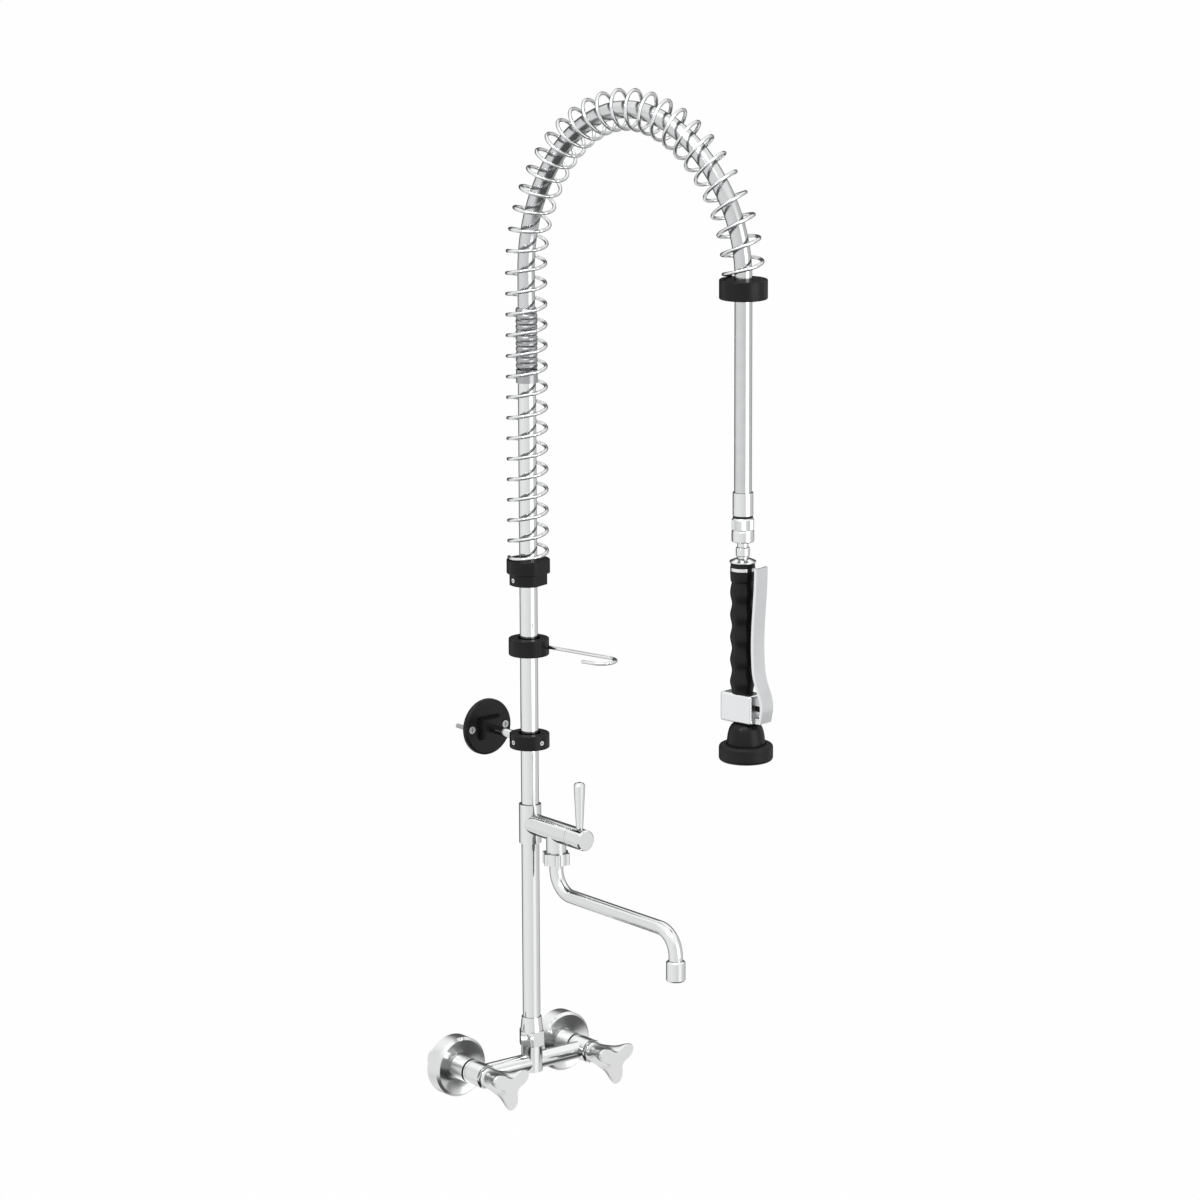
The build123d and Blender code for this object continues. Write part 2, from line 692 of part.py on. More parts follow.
def spout_ring():
    low = SPOUT_RING_TOP - SPOUT_RING_THICKNESS
    return on_spout(tube(BOSS_THREAD_RADIUS - AIR, SPOUT_RADIUS + SLIP, low, SPOUT_RING_TOP))


def spout_nut():
    low = SPOUT_NUT_BOTTOM
    high = low + SPOUT_NUT_HEIGHT
    nut = rod(SPOUT_NUT_RADIUS, low, high)
    lobe = rod(SPOUT_NUT_LOBE_RADIUS, low, high)
    for step in range(SPOUT_NUT_LOBES):
        turn = 360 * step / SPOUT_NUT_LOBES
        nut += Rot(0, 0, turn) * Pos(SPOUT_NUT_RADIUS - SPOUT_NUT_LOBE_SINK, 0, 0) * lobe
    nut -= rod(BOSS_THREAD_RADIUS + SLIP, low + SPOUT_NUT_LIP, high)
    nut -= rod(SPOUT_RADIUS + RUN, low, high)
    return on_spout(nut)


def on_aerator(shape):
    return on_spout(Pos(0, -SPOUT_REACH, 0) * shape)


def aerator_housing():
    top = AERATOR_BOTTOM + AERATOR_HEIGHT
    body = turned(
        (0, AERATOR_BOTTOM),
        (AERATOR_RADIUS - AERATOR_SHOULDER / 2, AERATOR_BOTTOM),
        (AERATOR_RADIUS, AERATOR_BOTTOM + AERATOR_SHOULDER),
        (AERATOR_RADIUS, top - AERATOR_SHOULDER),
        (AERATOR_RADIUS - AERATOR_SHOULDER, top),
        (0, top),
    )
    body -= rod(SPOUT_RADIUS + SLIP, SPOUT_END - AERATOR_INSERT_HEIGHT - AIR, top)
    body -= rod(SPOUT_RADIUS - AERATOR_LIP, AERATOR_BOTTOM, top)
    return on_aerator(body)


def aerator_insert():
    top = SPOUT_END - FACE_GAP
    low = SPOUT_END - AERATOR_INSERT_HEIGHT - AIR
    plug = rod(SPOUT_RADIUS, low, top)
    for step in range(AERATOR_HOLES):
        turn = 360 * step / AERATOR_HOLES
        plug -= Rot(0, 0, turn) * Pos(SPOUT_RADIUS / 2, 0, 0) * rod(AERATOR_HOLE_RADIUS, low, top)
    return on_aerator(plug - rod(AERATOR_HOLE_RADIUS, low, top))


STAY_BOTTOM = STAY_HEIGHT - STAY_COLLAR_HEIGHT / 2
ROD_BACK = FLANGE_BOSS_REACH - ROD_TUCK
ROD_FRONT = RISER_STANDOFF - STAY_COLLAR_RADIUS + (STAY_COLLAR_RADIUS - COLLAR_RECESS_RADIUS) * 0.7
SCREW_SIDES = (-WALL_SCREW_SPACING / 2, WALL_SCREW_SPACING / 2)


def wall_screw_shape(play):
    "A countersunk screw along the wall's normal, its head flush with the flange."
    cone = FLANGE_THICKNESS - WALL_SCREW_HEAD_HEIGHT
    return turned(
        (0, -WALL_SCREW_TAIL),
        (WALL_SCREW_RADIUS, -WALL_SCREW_TAIL),
        (WALL_SCREW_RADIUS, 0),
        (WALL_SCREW_NECK_RADIUS + play, 0),
        (WALL_SCREW_NECK_RADIUS + play, cone),
        (WALL_SCREW_HEAD_RADIUS + play, FLANGE_THICKNESS),
        (0, FLANGE_THICKNESS),
    )


def stay_flange():
    disc = fillet(rod(FLANGE_RADIUS, 0, FLANGE_THICKNESS).edges().sort_by(Axis.Z)[-1], FLANGE_THICKNESS / 2)
    base = Pos(0, 0, FLANGE_THICKNESS / 2) * Rectangle(FLANGE_BOSS_WIDTH, FLANGE_BOSS_WIDTH)
    crown_width = FLANGE_BOSS_WIDTH - FLANGE_BOSS_TAPER
    crown = Pos(0, 0, FLANGE_BOSS_REACH) * Rectangle(crown_width, crown_width)
    body = disc + loft([base, crown])
    body -= rod(ROD_RADIUS + SLIP, ROD_BACK - AIR, FLANGE_BOSS_REACH)
    for x in SCREW_SIDES:
        body -= Pos(x, 0, 0) * wall_screw_shape(SLIP)
        body -= Pos(x, 0, 0) * rod(WALL_SCREW_RELIEF_RADIUS, 0, WALL_SCREW_RELIEF)
    return forward(body, 0, STAY_HEIGHT)


def wall_screws():
    bar = Box(WALL_SCREW_CROSS, WALL_SCREW_CROSS_WIDTH, WALL_SCREW_HEAD_HEIGHT)
    cross = Pos(0, 0, FLANGE_THICKNESS) * (bar + Rot(0, 0, QUARTER) * bar)
    screw = wall_screw_shape(0) - cross
    return Compound(children=[forward(screw, x, STAY_HEIGHT) for x in SCREW_SIDES])


def stay_rod():
    return forward(rod(ROD_RADIUS, ROD_BACK, ROD_FRONT), 0, STAY_HEIGHT)


def riser_collar(radius, low, high):
    "A moulded ring on the riser, recessed round the tube at its top, with its seam clear of the screw holes."
    ring = round_rims(rod(radius, low, high), COLLAR_EDGE)
    ring -= rod(RISER_RADIUS + RUN, low, high)
    ring -= rod(COLLAR_RECESS_RADIUS, high - COLLAR_RECESS_DEPTH, high)
    return Rot(0, 0, COLLAR_SEAM_TURN) * ring


def grub_screw(outer, height, turn, play=0.0):
    "A grub screw that points at the riser axis; turn 0 is on the wall's far side."
    tip = RISER_RADIUS + RUN if play else RISER_RADIUS + RUN + FACE_GAP
    screw = rod(GRUB_RADIUS + play, tip, outer + GRUB_PROUD)
    if not play:
        key = outer + GRUB_PROUD
        screw -= rod(GRUB_KEY_RADIUS, key - GRUB_KEY_DEPTH, key)
    return Pos(0, 0, height) * Rot(0, 0, turn) * Rot(90, 0, 0) * screw


STAY_GRUB_TURNS = (0, -90)
SEAT_GRUB_TURN = -90
HOOK_GRUB_TURN = 90
SEAT_BOTTOM = SEAT_TOP - SEAT_HEIGHT
SEAT_STEP = SEAT_TOP - SEAT_RING_HEIGHT
SEAT_GRUB_HEIGHT = (SEAT_BOTTOM + SEAT_STEP) / 2


def stay_collar():
    body = riser_collar(STAY_COLLAR_RADIUS, STAY_BOTTOM, STAY_BOTTOM + STAY_COLLAR_HEIGHT)
    for turn in STAY_GRUB_TURNS:
        body -= grub_screw(STAY_COLLAR_RADIUS, STAY_HEIGHT, turn, SLIP)
    body = on_riser(body)
    return body - forward(rod(ROD_RADIUS + SLIP, 0, ROD_FRONT + AIR), 0, STAY_HEIGHT)


def grub_screws():
    "The grub screws of the stay collar and the spring seat."
    screws = [grub_screw(STAY_COLLAR_RADIUS, STAY_HEIGHT, turn) for turn in STAY_GRUB_TURNS]
    screws.append(grub_screw(SEAT_RADIUS, SEAT_GRUB_HEIGHT, SEAT_GRUB_TURN))
    return Compound(children=[on_riser(screw) for screw in screws])


HOOK_BOTTOM = HOOK_HEIGHT - HOOK_COLLAR_HEIGHT / 2
HOOK_SOCKET_START = math.sqrt(HOOK_COLLAR_RADIUS ** 2 - HOOK_WIRE_OFFSET ** 2) - HOOK_SOCKET


def on_hook(shape):
    return on_riser(Rot(0, 0, HOOK_TURN) * shape)


def hook_collar():
    body = riser_collar(HOOK_COLLAR_RADIUS, HOOK_BOTTOM, HOOK_BOTTOM + HOOK_COLLAR_HEIGHT)
    body -= grub_screw(HOOK_COLLAR_RADIUS, HOOK_HEIGHT, HOOK_GRUB_TURN, SLIP)
    socket = rod(HOOK_WIRE_RADIUS + SLIP, HOOK_SOCKET_START, HOOK_COLLAR_RADIUS)
    body -= Pos(HOOK_WIRE_OFFSET, 0, HOOK_HEIGHT) * Rot(90, 0, 0) * socket
    return on_hook(body)


def hook_wire():
    start = (HOOK_WIRE_OFFSET, -HOOK_SOCKET_START, HOOK_HEIGHT)
    bend_in = (HOOK_WIRE_OFFSET, -HOOK_RUN, HOOK_HEIGHT)
    bend_tip = (HOOK_WIRE_OFFSET - HOOK_BEND, -HOOK_RUN - HOOK_BEND, HOOK_HEIGHT)
    bend_out = (HOOK_WIRE_OFFSET - 2 * HOOK_BEND, -HOOK_RUN, HOOK_HEIGHT)
    end = (HOOK_WIRE_OFFSET - 2 * HOOK_BEND, -HOOK_RUN + HOOK_RETURN, HOOK_HEIGHT)
    path = Line(start, bend_in) + ThreePointArc(bend_in, bend_tip, bend_out) + Line(bend_out, end)
    wire = sweep(Plane(start, z_dir=(0, -1, 0)) * Circle(HOOK_WIRE_RADIUS), path)
    return on_hook(wire + Pos(*end) * Sphere(HOOK_WIRE_RADIUS))


def hook_screw():
    return on_hook(grub_screw(HOOK_COLLAR_RADIUS, HOOK_HEIGHT, HOOK_GRUB_TURN))


def spring_seat():
    body = rod(SEAT_RADIUS, SEAT_BOTTOM, SEAT_STEP) + rod(SEAT_RING_RADIUS, SEAT_STEP, SEAT_TOP)
    body = round_rims(body, COLLAR_EDGE)
    for flat, low, high in ((SEAT_RING_FLAT, SEAT_STEP, SEAT_TOP), (SEAT_FLAT, SEAT_BOTTOM, SEAT_STEP)):
        reach = SEAT_RING_RADIUS
        cut = Box(2 * reach, reach, high - low, align=(Align.CENTER, Align.MAX, Align.MIN))
        body -= Rot(0, 0, ARCH_TURN) * Pos(0, -flat, low) * cut
    body -= rod(RISER_RADIUS + SLIP, SEAT_BOTTOM, SEAT_TOP)
    body -= grub_screw(SEAT_RADIUS, SEAT_GRUB_HEIGHT, SEAT_GRUB_TURN, SLIP)
    return on_riser(body)


def corner_radii(points):
    "The largest arcs that the route's runs leave room for."
    radii = []
    for before, corner, after in zip(points, points[1:], points[2:]):
        run_in = corner - before
        run_out = after - corner
        half_turn = math.radians(run_in.get_angle(run_out)) / 2
        radii.append(HOSE_ARC_SHARE * min(run_in.length, run_out.length) / math.tan(half_turn))
    return radii


def hose_path():
    points = [arch_point(distance, height) for distance, height in HOSE_ROUTE]
    return FilletPolyline(*points, radius=corner_radii(points))


def hose():
    path = hose_path()
    section = Plane(path @ 0, z_dir=path % 0)
    wall = section * Circle(HOSE_RADIUS) - section * Circle(HOSE_BORE)
    solid = sweep(wall, path)
    expected = math.pi * (HOSE_RADIUS ** 2 - HOSE_BORE ** 2) * path.length
    points = [arch_point(distance, height) for distance, height in HOSE_ROUTE]
    print("hose radii", [round(radius, 1) for radius in corner_radii(points)])
    print("hose length", round(path.length, 1))
    print("hose volume over section times length", round(solid.volume / expected, 5))
    return solid


SPRING_FOOT = SEAT_TOP + AIR + SPRING_WIRE_RADIUS


def spring_length(path):
    "The length of the spring's axis: up from the seat, then along the hose to the end collar."
    drop = END_COLLAR_TOP + AIR + SPRING_WIRE_RADIUS - HOSE_ROUTE[-1][1]
    return HOSE_ROUTE[0][1] - SPRING_FOOT + path.length - drop


def spring_rise(turn):
    "How far along the spring's axis its wire is: flat on the seat at first, and closed up over the arch."
    first, last = SPRING_SQUEEZE_TURNS
    share = min(max((turn - first) / (last - first), 0), 1)
    level = turn - SPRING_FLAT_TURNS / 2
    if turn < SPRING_FLAT_TURNS:
        level = turn * abs(turn) / (2 * SPRING_FLAT_TURNS)
    return SPRING_PITCH * level - SPRING_SQUEEZE * share * share * (3 - 2 * share)


def spring_point(path, turn):
    "A point on the spring's wire, that many turns from the seat."
    along = spring_rise(turn)
    rise = HOSE_ROUTE[0][1] - SPRING_FOOT
    sideways = Vector(math.cos(math.radians(ARCH_TURN)), math.sin(math.radians(ARCH_TURN)), 0)
    centre = arch_point(0, SPRING_FOOT + along)
    tangent = Vector(0, 0, 1)
    if along > rise:
        centre = path.position_at(along - rise, PositionMode.LENGTH)
        tangent = path.tangent_at(along - rise, PositionMode.LENGTH)
    angle = math.radians(360 * turn + SPRING_START)
    outward = tangent.cross(sideways)
    return centre + (sideways * math.cos(angle) + outward * math.sin(angle)) * SPRING_RADIUS


def wire_direction(path, turn, step=0.002):
    return (spring_point(path, turn + step) - spring_point(path, turn - step)).normalized()


def biarc(start, start_direction, end, end_direction):
    "Two arcs that join two points along given directions."
    chord = end - start
    a = 2 * (start_direction.dot(end_direction) - 1)
    b = -2 * chord.dot(start_direction + end_direction)
    reach = (-b - math.sqrt(b * b - 4 * a * chord.dot(chord))) / (2 * a)
    first = start + start_direction * reach
    second = end - end_direction * reach
    middle = (first + second) * 0.5
    yield Edge.make_tangent_arc(start, start_direction, middle)
    yield Edge.make_tangent_arc(middle, second - first, end)


def least_gap(points, radius, apart):
    "The least air between stretches of a tube that lie some points apart."
    least = min(
        (points[i] - points[j]).length
        for i in range(len(points))
        for j in range(i + apart, len(points))
    )
    return least - 2 * radius


def spring():
    path = hose_path()
    total = (spring_length(path) + SPRING_SQUEEZE) / SPRING_PITCH + SPRING_FLAT_TURNS / 2
    halves = round(2 * total)
    turns = [total * step / halves for step in range(halves + 1)]
    points = [spring_point(path, turn) for turn in turns]
    directions = [wire_direction(path, turn) for turn in turns]
    edges = []
    for step in range(halves):
        edges.extend(biarc(points[step], directions[step], points[step + 1], directions[step + 1]))
    samples = [edge.position_at(share / 4) for edge in edges for share in range(4)]
    print("spring gap to itself", round(least_gap(samples, SPRING_WIRE_RADIUS, 8), 2))
    print("tightest spring arc", round(min(edge.radius for edge in edges), 2))
    print("spring turns", round(total, 2))
    return sweep(Plane(points[0], z_dir=directions[0]) * Circle(SPRING_WIRE_RADIUS), Wire(edges))


# Heights of the hose fitting on the riser
HOSE_BOTTOM = HOSE_ROUTE[0][1]
TAIL_BOTTOM = RISER_TOP + GASKET_THICKNESS + FACE_GAP
TAIL_FLANGE_TOP = TAIL_BOTTOM + TAIL_FLANGE_THICKNESS
HOSE_NUT_TOP = TAIL_FLANGE_TOP + FACE_GAP + HOSE_NUT_LIP


def hose_nut():
    low = RISER_TOP - HOSE_NUT_TUCK
    nut = rod(HOSE_NUT_RADIUS, low, HOSE_NUT_TOP)
    nut -= rod(RISER_RADIUS + SLIP, low, HOSE_NUT_TOP - HOSE_NUT_LIP)
    return on_riser(nut - rod(TAIL_NECK_RADIUS + RUN, low, HOSE_NUT_TOP))


def hose_tail():
    body = rod(TAIL_FLANGE_RADIUS, TAIL_BOTTOM, TAIL_FLANGE_TOP)
    body += rod(TAIL_NECK_RADIUS, TAIL_BOTTOM, HOSE_BOTTOM)
    body += rod(HOSE_BORE - SLIP, HOSE_BOTTOM, HOSE_BOTTOM + TAIL_INSERT)
    return on_riser(body - rod(TAIL_BORE, TAIL_BOTTOM, HOSE_BOTTOM + TAIL_INSERT))


def hose_ferrule():
    pitch = FERRULE_LENGTH / FERRULE_RIBS
    outline = [(HOSE_RADIUS + SLIP, HOSE_BOTTOM)]
    for rib in range(FERRULE_RIBS):
        low = HOSE_BOTTOM + rib * pitch
        outline.append((FERRULE_RADIUS - RIB_DEPTH, low))
        outline.append((FERRULE_RADIUS, low + pitch * 0.3))
        outline.append((FERRULE_RADIUS, low + pitch * 0.7))
        outline.append((FERRULE_RADIUS - RIB_DEPTH, low + pitch * 0.95))
    outline.append((HOSE_RADIUS + SLIP, HOSE_BOTTOM + FERRULE_LENGTH))
    return on_riser(turned(*outline))


# Heights down the spray gun
HOSE_END = HOSE_ROUTE[-1][1]
CRIMP_BOTTOM = HOSE_END - CRIMP_FLOOR
SWIVEL_NUT_TOP = CRIMP_BOTTOM - SWIVEL_SEAL_HEIGHT
SWIVEL_NUT_BOTTOM = SWIVEL_NUT_TOP - SWIVEL_NUT_HEIGHT
STEM_BOTTOM = SWIVEL_NUT_TOP - SWIVEL_NUT_THREAD
BEAD_TOP = SWIVEL_NUT_BOTTOM - SWIVEL_GAP_ABOVE
BEAD_BOTTOM = BEAD_TOP - SWIVEL_BEAD_HEIGHT
CAP_TOP = BEAD_BOTTOM - SWIVEL_GAP_BELOW
GRIP_TOP = CAP_TOP - CAP_HEIGHT
RING_TOP = GRIP_TOP - GRIP_BAND_HEIGHT
TUBE_TOP = RING_TOP - RING_HEIGHT
GRIP_BOTTOM = GRIP_TOP - GRIP_LENGTH
BOX_TOP = GRIP_BOTTOM - FACE_GAP
BOX_BOTTOM = BOX_TOP - BOX_HEIGHT
PIVOT_HEIGHT = BOX_BOTTOM + PIVOT_LIFT
PIVOT_FORWARD = BOX_FRONT + PIVOT_AHEAD
PLUNGER_HEIGHT = PIVOT_HEIGHT + PLUNGER_RISE
BELL_BOTTOM = BOX_BOTTOM - BELL_HEIGHT


def end_collar():
    low = END_COLLAR_TOP - END_COLLAR_HEIGHT
    ring = round_rims(rod(END_COLLAR_RADIUS, low, END_COLLAR_TOP), END_COLLAR_EDGE)
    return on_hose_end(ring - rod(HOSE_RADIUS + AIR, low, END_COLLAR_TOP))


def end_ferrule():
    top = CRIMP_BOTTOM + CRIMP_LENGTH
    body = rod(CRIMP_RADIUS, CRIMP_BOTTOM, top) + rod(STEM_RADIUS, STEM_BOTTOM, CRIMP_BOTTOM)
    body -= tube(HOSE_RADIUS + SLIP, HOSE_BORE - SLIP, HOSE_END - FACE_GAP, top)
    return on_hose_end(body - rod(TAIL_BORE, STEM_BOTTOM, top))


def swivel_seal():
    return on_hose_end(tube(SWIVEL_SEAL_RADIUS, STEM_RADIUS + SLIP, SWIVEL_NUT_TOP, CRIMP_BOTTOM))


def swivel_nut():
    nut = rod(SWIVEL_NUT_RADIUS, SWIVEL_NUT_BOTTOM, SWIVEL_NUT_TOP)
    nut = chamfer(nut.edges().filter_by(GeomType.CIRCLE), SWIVEL_NUT_CHAMFER)
    nut -= rod(STEM_RADIUS + SLIP, SWIVEL_NUT_BOTTOM + SWIVEL_NUT_LIP, SWIVEL_NUT_TOP)
    return on_hose_end(nut - rod(SWIVEL_STEM_RADIUS + RUN, SWIVEL_NUT_BOTTOM, SWIVEL_NUT_TOP))


def swivel_neck():
    flange = SWIVEL_NUT_BOTTOM + SWIVEL_NUT_LIP + FACE_GAP
    low = TUBE_TOP - SWIVEL_STEM_TUCK
    body = rod(SWIVEL_STEM_RADIUS, low, flange)
    body += rod(STEM_RADIUS - AIR, flange, flange + SWIVEL_FLANGE_THICKNESS)
    bead = rod(SWIVEL_BEAD_RADIUS, BEAD_BOTTOM, BEAD_TOP)
    body += fillet(bead.edges().filter_by(GeomType.CIRCLE), SWIVEL_BEAD_EDGE)
    return on_hose_end(body - rod(TAIL_BORE, low, flange + SWIVEL_FLANGE_THICKNESS))


def grip_cap():
    body = turned(
        (SWIVEL_STEM_RADIUS + SLIP, GRIP_TOP),
        (CAP_RADIUS, GRIP_TOP),
        (CAP_RADIUS, GRIP_TOP + CAP_HEIGHT / 3),
        (CAP_TOP_RADIUS, CAP_TOP),
        (SWIVEL_STEM_RADIUS + SLIP, CAP_TOP),
    )
    return on_hose_end(body)


def grip():
    half_waves = round(2 * GRIP_WAVES)
    rise = (TUBE_TOP - GRIP_BOTTOM) / half_waves
    radii = [(GRIP_VALLEY_RADIUS, GRIP_CREST_RADIUS)[step % 2] for step in range(half_waves + 1)]
    points = [(radius, 0, GRIP_BOTTOM + rise * step) for step, radius in enumerate(radii)]
    wave = Spline(*points, tangents=[(0, 0, 1), (0, 0, 1)])
    inside = Polyline(points[-1], (0, 0, TUBE_TOP), (0, 0, GRIP_BOTTOM), points[0])
    body = revolve(make_face(wave + inside), Axis.Z)
    body += rod(GRIP_RADIUS - RING_DEPTH, TUBE_TOP, RING_TOP) + rod(GRIP_RADIUS, RING_TOP, GRIP_TOP)
    bore = rod(GRIP_TUBE_RADIUS + SLIP, GRIP_BOTTOM, TUBE_TOP)
    bore += rod(SWIVEL_STEM_RADIUS + SLIP, GRIP_BOTTOM, GRIP_TOP)
    return on_hose_end(body - bore)


def grip_tube():
    low = BOX_TOP - GRIP_TUBE_TUCK
    body = tube(GRIP_TUBE_RADIUS, TAIL_BORE, low, TUBE_TOP)
    return on_hose_end(body - rod(SWIVEL_STEM_RADIUS + SLIP, TUBE_TOP - SWIVEL_STEM_TUCK - AIR, TUBE_TOP))


def grip_ring():
    bore = GRIP_RADIUS - RING_DEPTH + SLIP
    return on_hose_end(tube(GRIP_RADIUS + RING_PROUD, bore, TUBE_TOP + FACE_GAP, RING_TOP - FACE_GAP))


def level(shape, height):
    "Lay a shape's Z axis along the lever's side, at a height on the spray gun."
    return Pos(0, 0, height) * Rot(90, 0, 0) * shape


def pivot_rod(radius, half_length):
    "A rod along the lever's hinge."
    return Pos(0, -PIVOT_FORWARD, PIVOT_HEIGHT) * Rot(0, 90, 0) * Cylinder(radius, 2 * half_length)


def valve_box():
    depth = BOX_FRONT - BOX_BACK
    block = Box(BOX_WIDTH, depth, BOX_HEIGHT, align=(Align.CENTER, Align.MAX, Align.MIN))
    body = fillet(block.edges(), BOX_EDGE)
    body = Pos(0, -BOX_BACK, BOX_BOTTOM) * body
    web_length = PIVOT_FORWARD - BOX_FRONT + BOX_EDGE
    web = Box(LUG_THICKNESS, web_length, 2 * LUG_RADIUS, align=(Align.CENTER, Align.MIN, Align.CENTER))
    lug = Rot(0, 90, 0) * Cylinder(LUG_RADIUS, LUG_THICKNESS) + web
    for side in (-LUG_OFFSET, LUG_OFFSET):
        body += Pos(side, -PIVOT_FORWARD, PIVOT_HEIGHT) * lug
    body -= pivot_rod(PIVOT_RADIUS + SLIP, BOX_WIDTH)
    body -= rod(GRIP_TUBE_RADIUS + SLIP, BOX_TOP - GRIP_TUBE_TUCK, BOX_TOP)
    body -= level(rod(VALVE_BORE, BOX_BACK, VALVE_BORE_FRONT), PLUNGER_HEIGHT)
    body -= level(rod(OUTLET_RADIUS, BOX_BACK, OUTLET_FRONT), PLUNGER_HEIGHT)
    body -= level(rod(PLUNGER_RADIUS + RUN, BOX_BACK, BOX_FRONT), PLUNGER_HEIGHT)
    body -= rod(INLET_RADIUS, PLUNGER_HEIGHT, BOX_TOP)
    return on_hose_end(body - outlet_hole())


def outlet_hole():
    "The way down from the valve seat into the spray bell."
    middle = (VALVE_BORE_FRONT + OUTLET_FRONT) / 2
    return Pos(0, -middle, 0) * rod(INLET_RADIUS, BELL_BOTTOM, PLUNGER_HEIGHT)


POPPET_FRONT = VALVE_BORE_FRONT - AIR
POPPET_BACK = POPPET_FRONT - POPPET_THICKNESS
PLUG_FRONT = BOX_BACK + PLUG_LENGTH


def beside_pivot(up, ahead):
    "A point on the spray gun's middle plane, by its height and distance forward from the pivot."
    return (0, -PIVOT_FORWARD - ahead, PIVOT_HEIGHT + up)


def side_line(points):
    "A smooth line on the spray gun's middle plane, from heights and distances forward of the pivot."
    return Spline(*[beside_pivot(up, ahead) for up, ahead in points])


def lever_face_at(rise):
    "How far forward the lever's inner face is, that far above the pivot."
    face = side_line([(up, outer - TRIGGER_SKIN) for up, outer, _ in TRIGGER_OUTLINE])
    low, high = 0.0, 1.0
    for _ in range(40):
        middle = (low + high) / 2
        if face.position_at(middle).Z < PIVOT_HEIGHT + rise:
            low = middle
        else:
            high = middle
    return -face.position_at(low).Y


def plunger():
    tip = lever_face_at(PLUNGER_RISE) - AIR
    dome = tip - PLUNGER_RADIUS
    body = rod(PLUNGER_RADIUS, POPPET_BACK, dome) + Pos(0, 0, dome) * Sphere(PLUNGER_RADIUS)
    body += rod(POPPET_RADIUS, POPPET_BACK, POPPET_FRONT)
    return on_hose_end(level(body, PLUNGER_HEIGHT))


def plunger_spring():
    low = PLUG_FRONT + RETURN_SPRING_WIRE + FACE_GAP
    high = POPPET_BACK - PLUNGER_TRAVEL - RETURN_SPRING_WIRE - AIR
    pitch = (high - low) / RETURN_SPRING_TURNS
    path = Pos(0, 0, low) * Helix(pitch, high - low, RETURN_SPRING_RADIUS)
    wire = sweep(Plane(path @ 0, z_dir=path % 0) * Circle(RETURN_SPRING_WIRE), path, is_frenet=True)
    return on_hose_end(level(wire, PLUNGER_HEIGHT))


def valve_plug():
    return on_hose_end(level(rod(VALVE_BORE - SLIP, BOX_BACK, PLUG_FRONT), PLUNGER_HEIGHT))


def between(outer, inner, half_width):
    "A plate across the spray gun, between two smooth lines on its middle plane."
    front = side_line(outer)
    back = side_line(inner)
    side = make_face(front + Line(front @ 1, back @ 1) + back + Line(back @ 0, front @ 0))
    return extrude(side, half_width, dir=(1, 0, 0), both=True)


def spray_lever():
    outer = [(up, front) for up, front, _ in TRIGGER_OUTLINE]
    skin = [(up, front - TRIGGER_SKIN) for up, front, _ in TRIGGER_OUTLINE]
    edge = [(up, back) for up, _, back in TRIGGER_OUTLINE]
    past_edge = [(up, back - TRIGGER_SKIN) for up, _, back in TRIGGER_OUTLINE]
    half = TRIGGER_WIDTH / 2
    body = between(outer, edge, half) - between(skin, past_edge, half - TRIGGER_CHEEK)
    outline = Polyline(*[beside_pivot(up, ahead) for up, ahead in TRIGGER_FOOT], close=True)
    body += extrude(make_face(outline), TRIGGER_FOOT_WIDTH / 2, dir=(1, 0, 0), both=True)
    return on_hose_end(body - pivot_rod(PIVOT_RADIUS + RUN, BOX_WIDTH))


def lever_pin():
    return on_hose_end(pivot_rod(PIVOT_RADIUS, LUG_OFFSET + LUG_THICKNESS / 2 + LEVER_PIN_PROUD))


def on_head(shape):
    return on_hose_end(Pos(0, -HEAD_FORWARD, 0) * shape)


def bell_outline(offset):
    "The spray bell's dome, from its rim to its neck."
    rim = BELL_RADIUS - offset
    rise = BELL_HEIGHT - offset
    outline = []
    for step in range(BELL_STEPS):
        angle = math.pi / 2 * step / BELL_STEPS
        radius = rim * math.cos(angle) ** BELL_FULLNESS
        if radius > BELL_NECK_RADIUS - offset:
            outline.append((radius, BELL_BOTTOM + rise * math.sin(angle)))
    return outline


def spray_bell():
    outer = bell_outline(0) + [(BELL_NECK_RADIUS, BOX_BOTTOM), (0, BOX_BOTTOM)]
    inner = bell_outline(BELL_WALL)
    top = inner[-1][1]
    body = turned((0, BELL_BOTTOM), *outer) - turned((0, BELL_BOTTOM), *inner, (0, top))
    return on_head(body) - on_hose_end(outlet_hole())


def bumper_ring():
    low = BELL_BOTTOM - BUMPER_HEIGHT
    high = BELL_BOTTOM + BUMPER_LIP
    ring = round_rims(tube(BUMPER_RADIUS, BUMPER_BORE, low, high), BUMPER_EDGE)
    return on_head(ring - rod(BELL_RADIUS + BUMPER_GROOVE, BELL_BOTTOM, high))


def spray_face():
    low = BELL_BOTTOM - BUMPER_HEIGHT / 2
    disc = rod(BUMPER_BORE - SLIP, low, low + FACE_THICKNESS)
    hole = rod(FACE_HOLE_RADIUS, low, low + FACE_THICKNESS)
    for radius, count in zip(FACE_RING_RADII, FACE_RING_COUNTS):
        for step in range(count):
            disc -= Rot(0, 0, 360 * step / count) * Pos(radius, 0, 0) * hole
    return on_head(disc)


